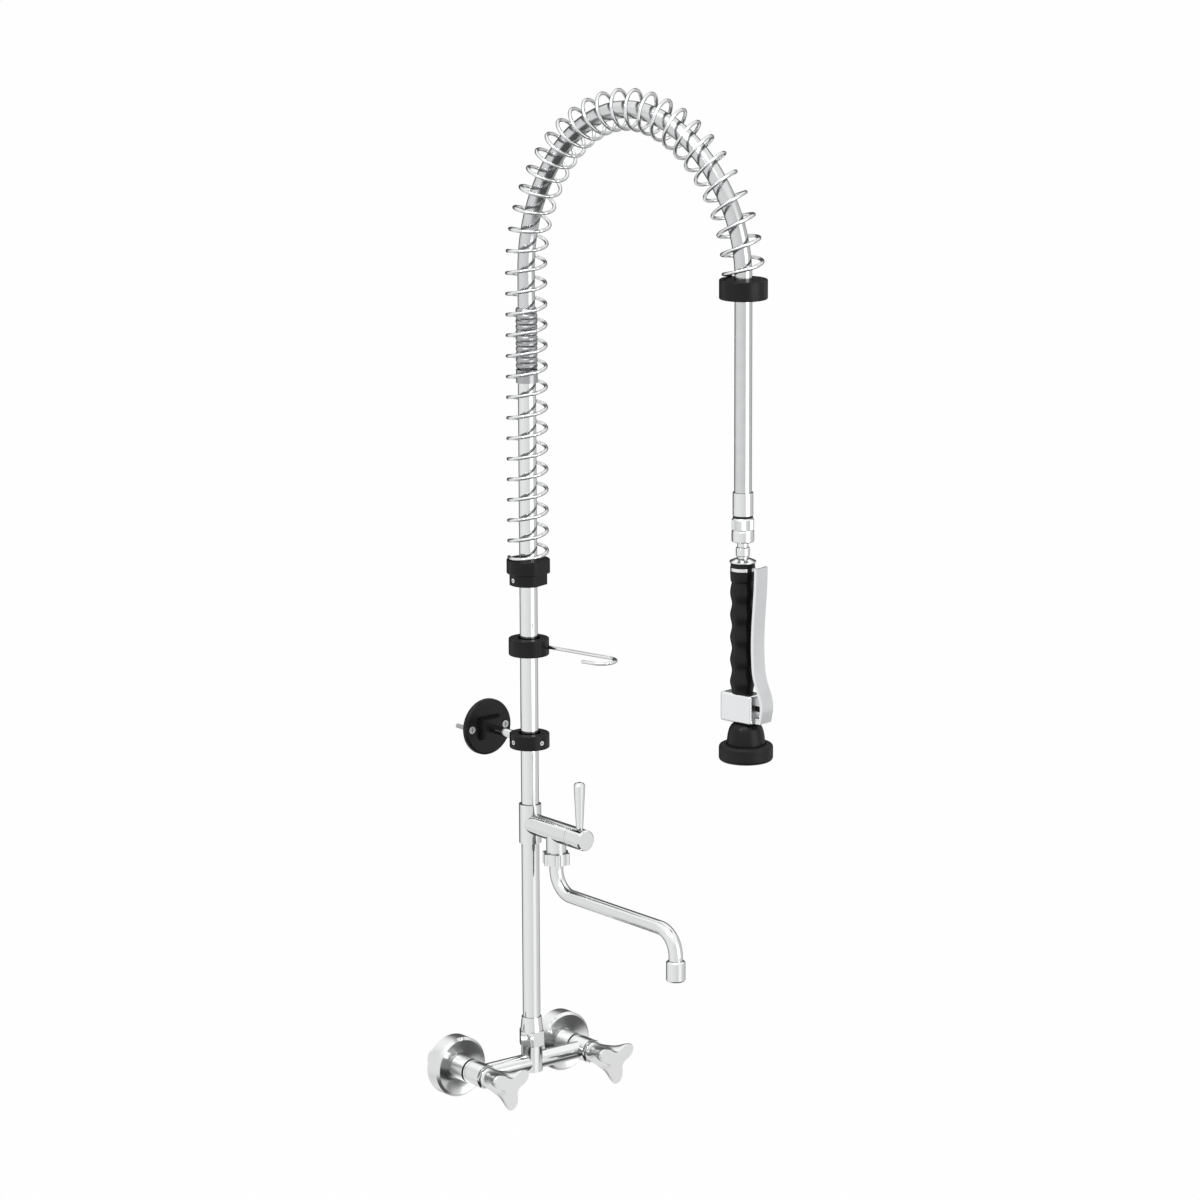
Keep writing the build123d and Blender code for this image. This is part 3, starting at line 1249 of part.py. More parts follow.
def main():
    hot, cold = INLETS
    pieces = {
        "mixer_body": mixer_body(),
        "wall_unions": wall_unions(),
        "union_nuts": union_nuts(),
        "joint_seals": joint_seals(),
        "hot_rosette": rosette(hot),
        "cold_rosette": rosette(cold),
        "headworks": headworks(),
        "seat_discs": seat_discs(),
        "hot_disc": moving_disc(hot),
        "cold_disc": moving_disc(cold),
        "hot_spindle": spindle(hot),
        "cold_spindle": spindle(cold),
        "hot_handle": handle(hot),
        "cold_handle": handle(cold),
        "coupling_nut": coupling_nut(),
        "riser_lower": riser_lower(),
        "riser_upper": riser_upper(),
        "tap_body": tap_body(),
        "tap_headwork": tap_headwork(),
        "tap_spindle": tap_spindle(),
        "tap_hub": tap_hub(),
        "tap_lever": tap_lever(),
        "spout": spout(),
        "spout_seals": spout_seals(),
        "spout_ring": spout_ring(),
        "spout_nut": spout_nut(),
        "aerator_housing": aerator_housing(),
        "aerator_insert": aerator_insert(),
        "stay_flange": stay_flange(),
        "stay_rod": stay_rod(),
        "stay_collar": stay_collar(),
        "wall_screws": wall_screws(),
        "grub_screws": grub_screws(),
        "hook_collar": hook_collar(),
        "hook_wire": hook_wire(),
        "hook_screw": hook_screw(),
        "spring_seat": spring_seat(),
        "spring": spring(),
        "hose": hose(),
        "hose_nut": hose_nut(),
        "hose_tail": hose_tail(),
        "hose_ferrule": hose_ferrule(),
        "end_collar": end_collar(),
        "end_ferrule": end_ferrule(),
        "swivel_seal": swivel_seal(),
        "swivel_nut": swivel_nut(),
        "swivel_neck": swivel_neck(),
        "grip_cap": grip_cap(),
        "grip": grip(),
        "grip_tube": grip_tube(),
        "grip_ring": grip_ring(),
        "valve_box": valve_box(),
        "valve_plug": valve_plug(),
        "plunger": plunger(),
        "plunger_spring": plunger_spring(),
        "spray_lever": spray_lever(),
        "lever_pin": lever_pin(),
        "spray_bell": spray_bell(),
        "bumper_ring": bumper_ring(),
        "spray_face": spray_face(),
    }
    os.makedirs("parts", exist_ok=True)
    for name, shape in pieces.items():
        export_step(shape, f"parts/{name}.step")


main()
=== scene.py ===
import json
import math

import bmesh
import bpy
from mathutils import Matrix, Vector


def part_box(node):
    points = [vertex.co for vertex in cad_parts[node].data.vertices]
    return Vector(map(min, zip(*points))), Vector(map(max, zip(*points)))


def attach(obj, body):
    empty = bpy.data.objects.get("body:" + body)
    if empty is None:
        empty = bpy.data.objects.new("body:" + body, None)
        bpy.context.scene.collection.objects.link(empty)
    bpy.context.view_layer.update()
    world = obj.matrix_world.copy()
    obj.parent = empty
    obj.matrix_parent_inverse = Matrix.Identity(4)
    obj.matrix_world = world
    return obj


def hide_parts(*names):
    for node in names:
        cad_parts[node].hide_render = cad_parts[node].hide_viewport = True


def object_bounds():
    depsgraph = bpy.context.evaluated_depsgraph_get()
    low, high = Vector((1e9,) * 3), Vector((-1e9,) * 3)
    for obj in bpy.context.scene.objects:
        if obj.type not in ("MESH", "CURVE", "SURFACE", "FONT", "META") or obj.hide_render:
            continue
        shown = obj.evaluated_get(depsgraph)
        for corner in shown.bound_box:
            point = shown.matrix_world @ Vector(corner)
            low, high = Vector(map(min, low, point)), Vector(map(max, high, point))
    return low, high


# The looks of a wall-mounted pre-rinse faucet, in metres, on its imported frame.
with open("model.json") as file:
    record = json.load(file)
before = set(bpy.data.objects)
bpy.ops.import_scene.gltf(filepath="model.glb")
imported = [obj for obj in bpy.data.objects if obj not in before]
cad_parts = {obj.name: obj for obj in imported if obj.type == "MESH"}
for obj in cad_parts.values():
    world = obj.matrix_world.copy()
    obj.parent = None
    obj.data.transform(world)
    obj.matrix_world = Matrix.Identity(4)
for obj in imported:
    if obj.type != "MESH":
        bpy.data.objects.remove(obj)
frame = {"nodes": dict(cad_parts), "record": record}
cad_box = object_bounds()
nodes = frame["nodes"]

# Camera
IMAGE_SIZE = 1200
CAMERA_PLACE = (-3.1495, -4.1738, 1.6749)
CAMERA_AZIMUTH = -38.466
CAMERA_ELEVATION = 12.45
CAMERA_ROLL = -0.239
CAMERA_LENS = 142.84
CAMERA_REACH = 100.0
SENSOR = 36.0
HALF_PIXEL = 0.5 / IMAGE_SIZE

# Stage
FLOOR_DROP = 0.45
FLOOR_SIZE = 40.0
FLOOR_GREY = 0.86
FLOOR_ROUGHNESS = 0.9
FLOOR_WHITE_SHARE = 0.98
WORLD_LIGHT = 0.62
KEY_PLACE = (0.85, -2.99, 0.85)
KEY_SIZE = (2.0, 2.6)
KEY_POWER = 17.0
TOP_PLACE = (-0.9, -0.9, 3.2)
TOP_SIZE = (1.8, 1.8)
TOP_POWER = 16.0
SPARK_PLACE = (-1.83, -0.58, 2.2)
SPARK_SIZE = (0.35, 0.35)
SPARK_POWER = 6.0
LAMP_TARGET = (0.05, -0.2, 0.85)
# What metal sees of the studio: angle to the right of the first camera, grey level
STUDIO_WALLS = [
    (-180, 0.08),
    (-146, 0.08),
    (-134, 0.18),
    (-120, 0.66),
    (-105, 0.77),
    (-80, 0.85),
    (-50, 0.84),
    (0, 0.76),
    (24, 0.70),
    (40, 0.96),
    (62, 0.96),
    (80, 0.70),
    (100, 0.60),
    (130, 0.60),
    (150, 0.25),
    (165, 0.08),
    (180, 0.08),
]
STUDIO_GROUND = [
    (-180, 0.78),
    (-125, 0.78),
    (-85, 0.45),
    (-55, 0.10),
    (100, 0.08),
    (140, 0.50),
    (180, 0.78),
]
STUDIO_CEILING = 1.0
GROUND_HEIGHTS = (-0.62, -0.40)
CEILING_HEIGHTS = (0.44, 0.62)
# Share of the studio that metal sees by way of other metal, past this many reflections
RECESS_LIGHT = 0.3
RECESS_DEPTH = 1.5

# Hose, whose route is in the upright plane of the arch: distance from the riser axis, height
RISER_STANDOFF = 0.081
ARCH_TURN = math.radians(15.0)
HOSE_ROUTE = [
    (0.0, 0.797),
    (0.0, 0.848),
    (0.0, 0.959),
    (0.052, 1.057),
    (0.137, 1.100),
    (0.227, 1.066),
    (0.2895, 0.974),
    (0.2895, 0.863),
    (0.2895, 0.669),
]
HOSE_RADIUS = 0.0095
HOSE_SIDES = 40
ROUTE_RESOLUTION = 48

# Spring
SPRING_FOOT = 0.5848
SPRING_END = 0.9228
SPRING_TURNS = 38.45
SPRING_RADIUS = 0.0212
SPRING_WIRE_RADIUS = 0.002
SPRING_PITCH = 0.023
SPRING_START = math.radians(125.0)
SPRING_FLAT_TURNS = 0.4
SPRING_SQUEEZE_TURNS = (17.6, 34.6)
SPRING_STEPS = 40
SPRING_SIDES = 12

# Finishes that differ from the record's slot of the node
NODE_FINISHES = {
    "spray_lever": "satin_chrome",
    "valve_box": "satin_chrome",
    "hot_rosette": "soft_chrome",
    "cold_rosette": "soft_chrome",
    "hot_handle": "soft_chrome",
    "cold_handle": "soft_chrome",
    "hose_nut": "ferrule_grey",
    "hose_tail": "ferrule_grey",
    "wall_screws": "ferrule_grey",
    # Painted shade: the plunger is black so that it stands in for the shade in the gap between the valve box
    # and the lever
    "plunger": "black_plastic",
}
NODE_SMOOTH_ANGLE = 35.0
NUT_SMOOTH_ANGLE = 20.0

# Platings by slot or finish: name, colour, roughness from and to
CHROMES = {
    "chrome": ("chrome", (0.905, 0.92, 0.915), 0.07, 0.12),
    "soft_chrome": ("soft_chrome", (0.93, 0.94, 0.935), 0.19, 0.25),
    "satin_chrome": ("satin_chrome", (0.95, 0.96, 0.97), 0.24, 0.31),
    "spring_steel": ("spring_chrome", (0.88, 0.89, 0.90), 0.06, 0.11),
    "ferrule_grey": ("ferrule_steel", (0.50, 0.51, 0.52), 0.24, 0.34),
}
CHROME_PATCH_SCALE = 35.0
CHROME_RIPPLE_SCALE = 140.0
CHROME_RIPPLE_STRENGTH = 0.04
CHROME_RIPPLE_HEIGHT = 0.00003

# Plastics and rubbers by slot: name, darkest and lightest grey, roughness from and to, scale of the grain
PLASTICS = {
    "black_plastic": ("black_plastic", 0.006, 0.010, 0.26, 0.36, 1800.0),
    "rubber": ("black_rubber", 0.009, 0.014, 0.42, 0.52, 1200.0),
    "gasket": ("gasket_rubber", 0.02, 0.035, 0.6, 0.7, 1500.0),
}
PLASTIC_GLOSS = 0.26
PLASTIC_SHADE_SCALE = 60.0
PLASTIC_PATCH_SCALE = 90.0
PLASTIC_GRAIN_STRENGTH = 0.15
PLASTIC_GRAIN_HEIGHT = 0.0002

# Materials whose colour and roughness vary
BRASS = {
    "name": "machined_brass",
    "base": (0.72, 0.55, 0.26),
    "shades": ((0.62, 0.46, 0.20), (0.78, 0.61, 0.32)),
    "shade_scale": 120.0,
    "roughness": (0.18, 0.34),
    "patch_scale": 400.0,
    "metallic": 1.0,
}
CERAMIC = {
    "name": "lapped_ceramic",
    "base": (0.90, 0.89, 0.86),
    "shades": ((0.86, 0.85, 0.81), (0.93, 0.92, 0.89)),
    "shade_scale": 300.0,
    "roughness": (0.12, 0.2),
    "patch_scale": 200.0,
    "metallic": 0.0,
}
SILVER_SLEEVE = {
    "name": "silver_sleeve",
    "base": (0.75, 0.76, 0.765),
    "shades": ((0.73, 0.74, 0.745), (0.77, 0.78, 0.785)),
    "shade_scale": 90.0,
    "roughness": (0.12, 0.17),
    "patch_scale": 70.0,
    "metallic": 1.0,
}
BRAID_LEAN = math.radians(45.0)
BRAID_SCALE = 140.0
BRAID_STRENGTH = 0.05
BRAID_HEIGHT = 0.00012
NOISE_SPAN = (0.3, 0.7)

# Knurled nut above the gun: share of the height, share of the radius, depth of the knurl
KNURL_RIDGES = 44
KNURL_SIDES = 6
KNURL_DEPTH = 0.00045
NUT_BORE_SHARE = 0.72
NUT_ROWS = [
    (0.00, 0.92, 0.0),
    (0.05, 1.00, 0.0),
    (0.45, 1.00, 0.0),
    (0.47, 0.955, 0.0),
    (0.51, 0.955, 0.0),
    (0.53, 0.985, 0.4),
    (0.57, 1.00, 1.0),
    (0.90, 1.00, 1.0),
    (0.94, 0.985, 0.4),
    (1.00, 0.90, 0.0),
]


# Camera and stage

def place_camera():
    azimuth = math.radians(CAMERA_AZIMUTH)
    elevation = math.radians(CAMERA_ELEVATION)
    roll = math.radians(CAMERA_ROLL)
    flat = math.cos(elevation)
    back = Vector((math.sin(azimuth) * flat, -math.cos(azimuth) * flat, math.sin(elevation)))
    level = Vector((math.cos(azimuth), math.sin(azimuth), 0.0))
    upright = back.cross(level)
    right = level * math.cos(roll) + upright * math.sin(roll)
    up = upright * math.cos(roll) - level * math.sin(roll)
    data = bpy.data.cameras.new("camera")
    data.lens = CAMERA_LENS
    data.sensor_width = SENSOR
    data.shift_x = -HALF_PIXEL
    data.shift_y = HALF_PIXEL
    data.clip_end = CAMERA_REACH
    camera = bpy.data.objects.new("camera", data)
    camera.matrix_world = Matrix((right, up, back)).transposed().to_4x4()
    camera.location = CAMERA_PLACE
    bpy.context.scene.collection.objects.link(camera)
    bpy.context.scene.camera = camera


def add_lamp(name, place, size, power):
    data = bpy.data.lights.new(name, "AREA")
    data.shape = "RECTANGLE"
    data.size, data.size_y = size
    data.energy = power
    lamp = bpy.data.objects.new(name, data)
    lamp.location = place
    lamp.visible_camera = False
    lamp.rotation_euler = (Vector(LAMP_TARGET) - Vector(place)).to_track_quat("-Z", "Y").to_euler()
    bpy.context.scene.collection.objects.link(lamp)


def ramp_node(tree, stops):
    "A grey ramp with its stops as position and level."
    ramp = tree.nodes.new("ShaderNodeValToRGB")
    elements = ramp.color_ramp.elements
    while len(elements) < len(stops):
        elements.new(1.0)
    for element, (position, level) in zip(elements, stops):
        element.position = position
        element.color = (level, level, level, 1.0)
    return ramp


def link_or_set(tree, value, socket):
    if isinstance(value, float):
        socket.default_value = (value, value, value, 1.0)
    else:
        tree.links.new(value, socket)


def mix_grey(tree, factor, low, high):
    "A mix of two greys, each a level or a socket."
    mix = tree.nodes.new("ShaderNodeMix")
    mix.data_type = "RGBA"
    tree.links.new(factor, mix.inputs["Factor"])
    link_or_set(tree, low, mix.inputs["A"])
    link_or_set(tree, high, mix.inputs["B"])
    return mix.outputs["Result"]


def stretch(tree, value, low, high):
    "Map a value from between two bounds to between 0 and 1."
    stretched = tree.nodes.new("ShaderNodeMapRange")
    stretched.inputs["From Min"].default_value = low
    stretched.inputs["From Max"].default_value = high
    tree.links.new(value, stretched.inputs["Value"])
    return stretched.outputs[0]


def studio_grey(tree):
    "What metal sees: pale walls with a bright box and a dark far side, a darker ground, a white ceiling."
    place = tree.nodes.new("ShaderNodeTexCoord")
    turn = tree.nodes.new("ShaderNodeVectorRotate")
    turn.rotation_type = "Z_AXIS"
    turn.inputs["Angle"].default_value = math.radians(90.0 - CAMERA_AZIMUTH)
    tree.links.new(place.outputs["Generated"], turn.inputs["Vector"])
    split = tree.nodes.new("ShaderNodeSeparateXYZ")
    tree.links.new(turn.outputs[0], split.inputs[0])
    around = tree.nodes.new("ShaderNodeMath")
    around.operation = "ARCTAN2"
    tree.links.new(split.outputs["Y"], around.inputs[0])
    tree.links.new(split.outputs["X"], around.inputs[1])
    share = stretch(tree, around.outputs[0], -math.pi, math.pi)
    rounds = []
    for levels in (STUDIO_GROUND, STUDIO_WALLS):
        ramp = ramp_node(tree, [(angle / 360 + 0.5, level) for angle, level in levels])
        tree.links.new(share, ramp.inputs[0])
        rounds.append(ramp.outputs[0])
    height = split.outputs["Z"]
    grey = mix_grey(tree, stretch(tree, height, *GROUND_HEIGHTS), *rounds)
    return mix_grey(tree, stretch(tree, height, *CEILING_HEIGHTS), grey, STUDIO_CEILING)


def shade_recesses(tree, path, grey):
    "Dim what metal sees by way of other metal, as in the corners of a real casting."
    deep = tree.nodes.new("ShaderNodeMath")
    deep.operation = "GREATER_THAN"
    deep.inputs[1].default_value = RECESS_DEPTH
    tree.links.new(path.outputs["Glossy Depth"], deep.inputs[0])
    dim = tree.nodes.new("ShaderNodeMath")
    dim.operation = "MULTIPLY"
    dim.inputs[1].default_value = 1.0 - RECESS_LIGHT
    tree.links.new(deep.outputs[0], dim.inputs[0])
    return mix_grey(tree, dim.outputs[0], grey, 0.0)


def make_world():
    "White to the camera; metal sees the studio."
    world = bpy.data.worlds.new("studio")
    bpy.context.scene.world = world
    world.use_nodes = True
    tree = world.node_tree
    path = tree.nodes.new("ShaderNodeLightPath")
    clear = tree.nodes.new("ShaderNodeMath")
    clear.operation = "MAXIMUM"
    tree.links.new(path.outputs["Is Camera Ray"], clear.inputs[0])
    tree.links.new(path.outputs["Is Transmission Ray"], clear.inputs[1])
    studio = shade_recesses(tree, path, studio_grey(tree))
    light = mix_grey(tree, path.outputs["Is Glossy Ray"], WORLD_LIGHT, studio)
    tree.links.new(mix_grey(tree, clear.outputs[0], light, 1.0), tree.nodes["Background"].inputs["Color"])


def floor_material():
    "A pale floor that reads white to the camera and keeps a faint shadow."
    material = bpy.data.materials.new("floor")
    material.use_nodes = True
    tree = material.node_tree
    surface = tree.nodes["Principled BSDF"]
    surface.inputs["Base Color"].default_value = (FLOOR_GREY, FLOOR_GREY, FLOOR_GREY, 1.0)
    surface.inputs["Roughness"].default_value = FLOOR_ROUGHNESS
    white = tree.nodes.new("ShaderNodeEmission")
    path = tree.nodes.new("ShaderNodeLightPath")
    share = tree.nodes.new("ShaderNodeMath")
    share.operation = "MULTIPLY"
    share.inputs[1].default_value = FLOOR_WHITE_SHARE
    tree.links.new(path.outputs["Is Camera Ray"], share.inputs[0])
    mix = tree.nodes.new("ShaderNodeMixShader")
    tree.links.new(share.outputs[0], mix.inputs[0])
    tree.links.new(surface.outputs[0], mix.inputs[1])
    tree.links.new(white.outputs[0], mix.inputs[2])
    tree.links.new(mix.outputs[0], tree.nodes["Material Output"].inputs["Surface"])
    return material


def make_floor():
    mesh = bpy.data.meshes.new("floor")
    half = FLOOR_SIZE / 2
    low = cad_box[0].z - FLOOR_DROP
    corners = [(-half, -half, low), (half, -half, low), (half, half, low), (-half, half, low)]
    mesh.from_pydata(corners, [], [(0, 1, 2, 3)])
    floor = bpy.data.objects.new("floor", mesh)
    floor.visible_glossy = False
    mesh.materials.append(floor_material())
    bpy.context.scene.collection.objects.link(floor)


# Materials

def new_material(name, base, metallic=0.0):
    material = bpy.data.materials.new(name)
    material.use_nodes = True
    surface = material.node_tree.nodes["Principled BSDF"]
    surface.inputs["Base Color"].default_value = (*base, 1.0)
    surface.inputs["Metallic"].default_value = metallic
    return material, material.node_tree, surface


def add_noise(tree, scale, detail=3.0):
    place = tree.nodes.new("ShaderNodeTexCoord")
    noise = tree.nodes.new("ShaderNodeTexNoise")
    noise.inputs["Scale"].default_value = scale
    noise.inputs["Detail"].default_value = detail
    tree.links.new(place.outputs["Object"], noise.inputs["Vector"])
    return noise


def vary(tree, noise, socket, low, high):
    "Let a noise drive a socket between two values."
    spread = tree.nodes.new("ShaderNodeMapRange")
    spread.inputs["From Min"].default_value = NOISE_SPAN[0]
    spread.inputs["From Max"].default_value = NOISE_SPAN[1]
    spread.inputs["To Min"].default_value = low
    spread.inputs["To Max"].default_value = high
    tree.links.new(noise.outputs["Fac"], spread.inputs["Value"])
    tree.links.new(spread.outputs[0], socket)


def tint(tree, noise, socket, dark, light):
    "Let a noise drive a colour between two shades."
    ramp = tree.nodes.new("ShaderNodeValToRGB")
    for element, position, colour in zip(ramp.color_ramp.elements, NOISE_SPAN, (dark, light)):
        element.position = position
        element.color = (*colour, 1.0)
    tree.links.new(noise.outputs["Fac"], ramp.inputs[0])
    tree.links.new(ramp.outputs[0], socket)


def bump(tree, surface, height, strength, distance):
    relief = tree.nodes.new("ShaderNodeBump")
    relief.inputs["Strength"].default_value = strength
    relief.inputs["Distance"].default_value = distance
    tree.links.new(height, relief.inputs["Height"])
    tree.links.new(relief.outputs[0], surface.inputs["Normal"])


def chrome_material(name, base, low, high):
    "Polished plating, with the faint unevenness of a buffed casting."
    material, tree, surface = new_material(name, base, 1.0)
    vary(tree, add_noise(tree, CHROME_PATCH_SCALE), surface.inputs["Roughness"], low, high)
    ripple = add_noise(tree, CHROME_RIPPLE_SCALE, 1.0)
    bump(tree, surface, ripple.outputs["Fac"], CHROME_RIPPLE_STRENGTH, CHROME_RIPPLE_HEIGHT)
    return material


def plastic_material(name, darkest, lightest, low, high, grain):
    "Moulded black plastic or rubber with a fine grain."
    dark, light = (darkest,) * 3, (lightest,) * 3
    material, tree, surface = new_material(name, dark)
    surface.inputs["Specular IOR Level"].default_value = PLASTIC_GLOSS
    tint(tree, add_noise(tree, PLASTIC_SHADE_SCALE), surface.inputs["Base Color"], dark, light)
    vary(tree, add_noise(tree, PLASTIC_PATCH_SCALE), surface.inputs["Roughness"], low, high)
    relief = add_noise(tree, grain, 2.0)
    bump(tree, surface, relief.outputs["Fac"], PLASTIC_GRAIN_STRENGTH, PLASTIC_GRAIN_HEIGHT)
    return material


def mottled_material(name, base, shades, shade_scale, roughness, patch_scale, metallic):
    "A material whose colour and roughness vary a little over its surface."
    material, tree, surface = new_material(name, base, metallic)
    tint(tree, add_noise(tree, shade_scale), surface.inputs["Base Color"], *shades)
    vary(tree, add_noise(tree, patch_scale), surface.inputs["Roughness"], *roughness)
    return material, tree, surface


def braid_height(tree):
    "Two sets of waves that lean either way along the tube and cross in a lattice."
    place = tree.nodes.new("ShaderNodeUVMap")
    join = tree.nodes.new("ShaderNodeMath")
    join.operation = "MAXIMUM"
    for socket, lean in enumerate((-BRAID_LEAN, BRAID_LEAN)):
        turn = tree.nodes.new("ShaderNodeMapping")
        turn.inputs["Rotation"].default_value = (0.0, 0.0, lean)
        wave = tree.nodes.new("ShaderNodeTexWave")
        wave.inputs["Scale"].default_value = BRAID_SCALE
        tree.links.new(place.outputs[0], turn.inputs["Vector"])
        tree.links.new(turn.outputs[0], wave.inputs["Vector"])
        tree.links.new(wave.outputs["Fac"], join.inputs[socket])
    return join.outputs[0]


def hose_material():
    "A silver sleeve over a fine braid, which shows as a faint lattice."
    material, tree, surface = mottled_material(**SILVER_SLEEVE)
    bump(tree, surface, braid_height(tree), BRAID_STRENGTH, BRAID_HEIGHT)
    return material


def make_finishes():
    "The materials, by slot or by the name of a node's own finish."
    finishes = {slot: chrome_material(*row) for slot, row in CHROMES.items()}
    finishes.update({slot: plastic_material(*row) for slot, row in PLASTICS.items()})
    finishes["brass"] = mottled_material(**BRASS)[0]
    finishes["ceramic"] = mottled_material(**CERAMIC)[0]
    finishes["hose_grey"] = hose_material()
    return finishes


# Tubes

def arch_point(distance, height):
    "A point in the upright plane of the arch."
    return Vector((distance * math.sin(ARCH_TURN), -RISER_STANDOFF - distance * math.cos(ARCH_TURN), height))


def route_points():
    "Points along the smooth curve that the hose's route controls."
    curve = bpy.data.curves.new("route", "CURVE")
    curve.dimensions = "3D"
    spline = curve.splines.new("NURBS")
    spline.points.add(len(HOSE_ROUTE) - 1)
    for point, place in zip(spline.points, HOSE_ROUTE):
        point.co = (*arch_point(*place), 1.0)
    spline.order_u = 3
    spline.use_endpoint_u = True
    spline.resolution_u = ROUTE_RESOLUTION
    holder = bpy.data.objects.new("route", curve)
    bpy.context.scene.collection.objects.link(holder)
    bpy.context.view_layer.update()
    line = bpy.data.meshes.new_from_object(holder.evaluated_get(bpy.context.evaluated_depsgraph_get()))
    points = [vertex.co.copy() for vertex in line.vertices]
    bpy.data.objects.remove(holder)
    bpy.data.meshes.remove(line)
    return points


class Line:
    "A line through many points, measured by length."

    def __init__(self, points):
        self.points = points
        self.marks = [0.0]
        for start, end in zip(points, points[1:]):
            self.marks.append(self.marks[-1] + (end - start).length)
        self.length = self.marks[-1]

    def at(self, length):
        "The place and the direction at a length along the line."
        index = 1
        while index < len(self.marks) - 1 and self.marks[index] < length:
            index += 1
        start, end = self.points[index - 1], self.points[index]
        step = self.marks[index] - self.marks[index - 1]
        share = (length - self.marks[index - 1]) / step
        return start.lerp(end, share), (end - start).normalized()


def directions(points):
    "The direction of a line at each of its points."
    found = []
    for index in range(len(points)):
        before = points[max(index - 1, 0)]
        after = points[min(index + 1, len(points) - 1)]
        found.append((after - before).normalized())
    return found


def carried_frames(points):
    "A pair of cross directions at each point, carried along without twist."
    tangents = directions(points)
    across = tangents[0].orthogonal().normalized()
    frames = []
    for tangent in tangents:
        across = (across - tangent * across.dot(tangent)).normalized()
        frames.append((across, tangent.cross(across)))
    return frames


def add_piece(name, mesh, body, material, slot, *replaced):
    piece = bpy.data.objects.new(name, mesh)
    bpy.context.scene.collection.objects.link(piece)
    mesh.materials.append(material)
    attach(piece, body)
    if replaced:
        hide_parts(*replaced)
    return piece


def tube_mesh(name, points, radius, sides):
    "A closed tube along points, with a map of lengths along and around it."
    builder = bmesh.new()
    layer = builder.loops.layers.uv.new("lengths")
    marks = Line(points).marks
    rings = []
    for point, (across, beside) in zip(points, carried_frames(points)):
        ring = []
        for side in range(sides):
            angle = 2 * math.pi * side / sides
            outward = across * math.cos(angle) + beside * math.sin(angle)
            ring.append(builder.verts.new(point + outward * radius))
        rings.append(ring)
    girth = 2 * math.pi * radius / sides
    for index, (ring, above) in enumerate(zip(rings, rings[1:])):
        for side in range(sides):
            other = (side + 1) % sides
            face = builder.faces.new((ring[side], ring[other], above[other], above[side]))
            face.smooth = True
            spots = ((side, index), (side + 1, index), (side + 1, index + 1), (side, index + 1))
            for loop, (around, along) in zip(face.loops, spots):
                loop[layer].uv = (around * girth, marks[along])
    builder.faces.new(reversed(rings[0]))
    builder.faces.new(rings[-1])
    mesh = bpy.data.meshes.new(name)
    builder.to_mesh(mesh)
    builder.free()
    return mesh


def spring_points(route):
    "The spring's wire: coils round the riser, then round the hose, closing up over the arch."
    rise = HOSE_ROUTE[0][1] - SPRING_FOOT
    drop = SPRING_END - HOSE_ROUTE[-1][1]
    length = rise + route.length - drop
    squeeze = SPRING_PITCH * (SPRING_TURNS - SPRING_FLAT_TURNS / 2) - length
    first, last = SPRING_SQUEEZE_TURNS
    sideways = Vector((math.cos(ARCH_TURN), math.sin(ARCH_TURN), 0.0))
    count = round(SPRING_TURNS * SPRING_STEPS)
    points = []
    for step in range(count + 1):
        turn = SPRING_TURNS * step / count
        share = min(max((turn - first) / (last - first), 0.0), 1.0)
        level = turn - SPRING_FLAT_TURNS / 2
        if turn < SPRING_FLAT_TURNS:
            level = turn * turn / (2 * SPRING_FLAT_TURNS)
        along = SPRING_PITCH * level - squeeze * share * share * (3 - 2 * share)
        centre, tangent = arch_point(0.0, SPRING_FOOT + along), Vector((0.0, 0.0, 1.0))
        if along > rise:
            centre, tangent = route.at(along - rise)
        angle = 2 * math.pi * turn + SPRING_START
        outward = tangent.cross(sideways)
        points.append(centre + (sideways * math.cos(angle) + outward * math.sin(angle)) * SPRING_RADIUS)
    return points


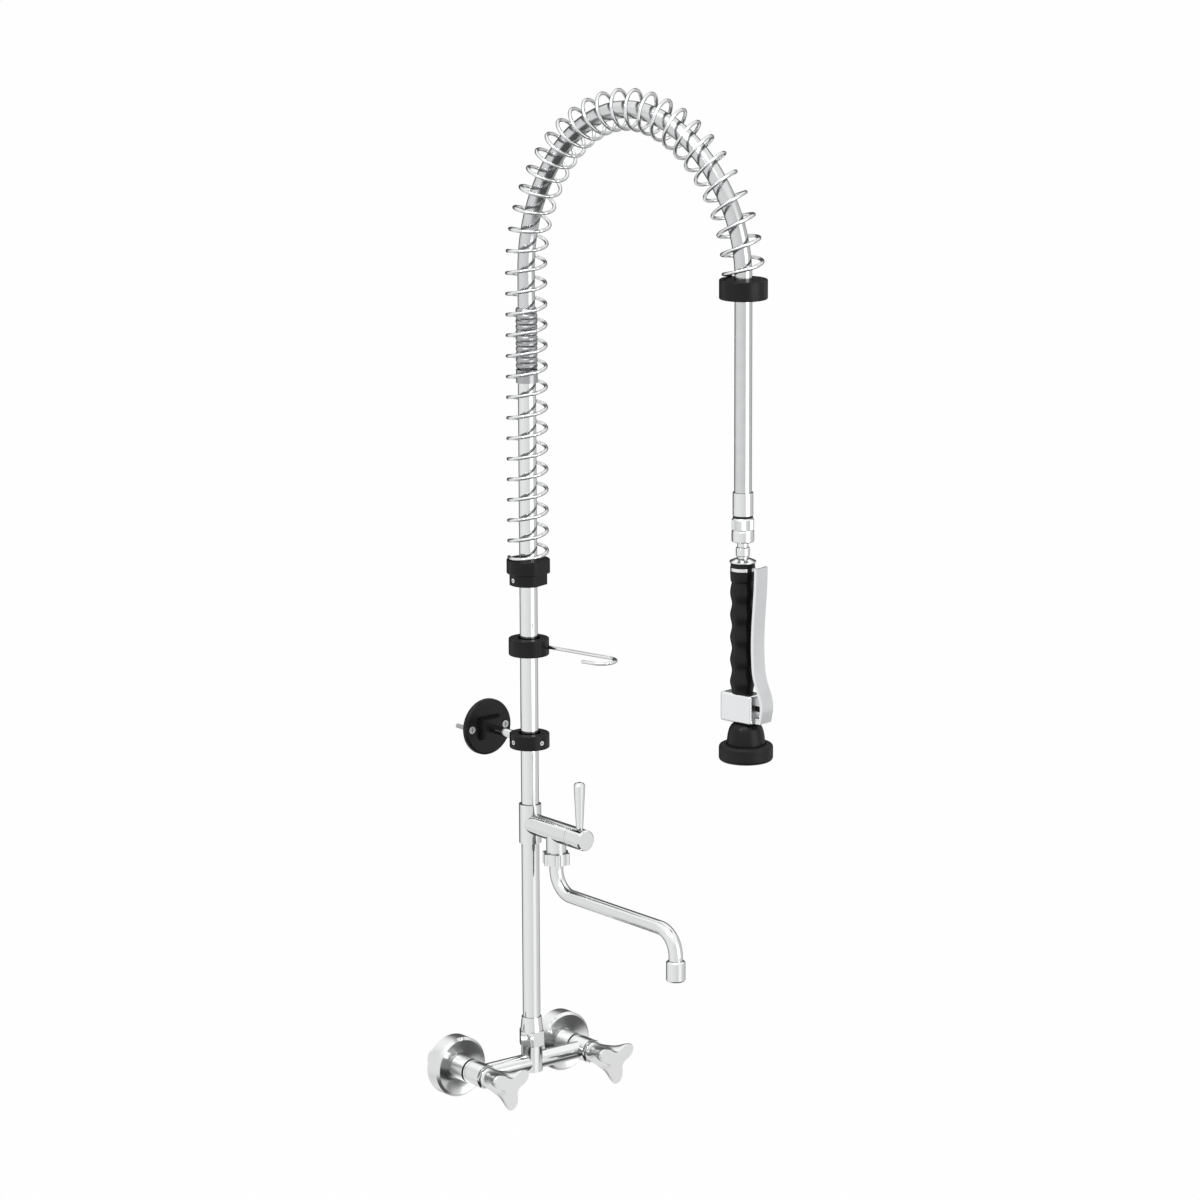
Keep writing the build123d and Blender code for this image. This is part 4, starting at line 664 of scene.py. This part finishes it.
def knurled_nut_mesh():
    "A nut with a plain lower half and a straight knurl round its upper half."
    low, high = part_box("swivel_nut")
    centre = (Vector(low) + Vector(high)) / 2
    height = high[2] - low[2]
    radius = (high[0] - low[0]) / 2
    rows = [(share, reach * radius, depth) for share, reach, depth in NUT_ROWS]
    rows.append((1.0, NUT_BORE_SHARE * radius, 0.0))
    rows.append((0.0, NUT_BORE_SHARE * radius, 0.0))
    sides = KNURL_RIDGES * KNURL_SIDES
    builder = bmesh.new()
    rings = []
    for share, reach, depth in rows:
        ring = []
        for side in range(sides):
            angle = 2 * math.pi * side / sides
            step = side % KNURL_SIDES / KNURL_SIDES
            dip = KNURL_DEPTH * depth * abs(2 * step - 1)
            spot = Vector((math.cos(angle), math.sin(angle), 0.0)) * (reach - dip)
            ring.append(builder.verts.new((centre.x + spot.x, centre.y + spot.y, low[2] + share * height)))
        rings.append(ring)
    for ring, above in zip(rings, rings[1:] + rings[:1]):
        for side in range(sides):
            other = (side + 1) % sides
            builder.faces.new((ring[side], ring[other], above[other], above[side]))
    mesh = bpy.data.meshes.new("knurled_nut")
    builder.to_mesh(mesh)
    builder.free()
    return mesh


# Finishes

def smooth_shading(node, angle):
    node.data.shade_smooth()
    node.data.set_sharp_from_angle(angle=math.radians(angle))


def dress_nodes(finishes):
    "Give each carried-over node the finish of its slot in the record."
    for row in frame["record"]["subparts"]:
        node = nodes[row["node"]]
        node.data.materials.clear()
        node.data.materials.append(finishes[NODE_FINISHES.get(row["node"], row["material_slot"])])
        smooth_shading(node, NODE_SMOOTH_ANGLE)


# Pieces

def add_hose(route, material):
    mesh = tube_mesh("hose_sleeve", route.points, HOSE_RADIUS, HOSE_SIDES)
    hose = add_piece("hose_sleeve", mesh, "arm", material, "hose_grey", "hose")


def add_nut(material):
    nut = add_piece("knurled_nut", knurled_nut_mesh(), "arm", material, "chrome", "swivel_nut")
    smooth_shading(nut, NUT_SMOOTH_ANGLE)


def add_spring(route, material):
    mesh = tube_mesh("spring_wire", spring_points(route), SPRING_WIRE_RADIUS, SPRING_SIDES)
    add_piece("spring_wire", mesh, "arm", material, "spring_steel", "spring")


def main():
    bpy.context.scene.view_settings.view_transform = "Standard"
    place_camera()
    make_world()
    make_floor()
    add_lamp("key", KEY_PLACE, KEY_SIZE, KEY_POWER)
    add_lamp("top", TOP_PLACE, TOP_SIZE, TOP_POWER)
    add_lamp("spark", SPARK_PLACE, SPARK_SIZE, SPARK_POWER)
    finishes = make_finishes()
    dress_nodes(finishes)
    route = Line(route_points())
    add_hose(route, finishes["hose_grey"])
    add_nut(finishes["chrome"])
    add_spring(route, finishes["spring_steel"])


main()
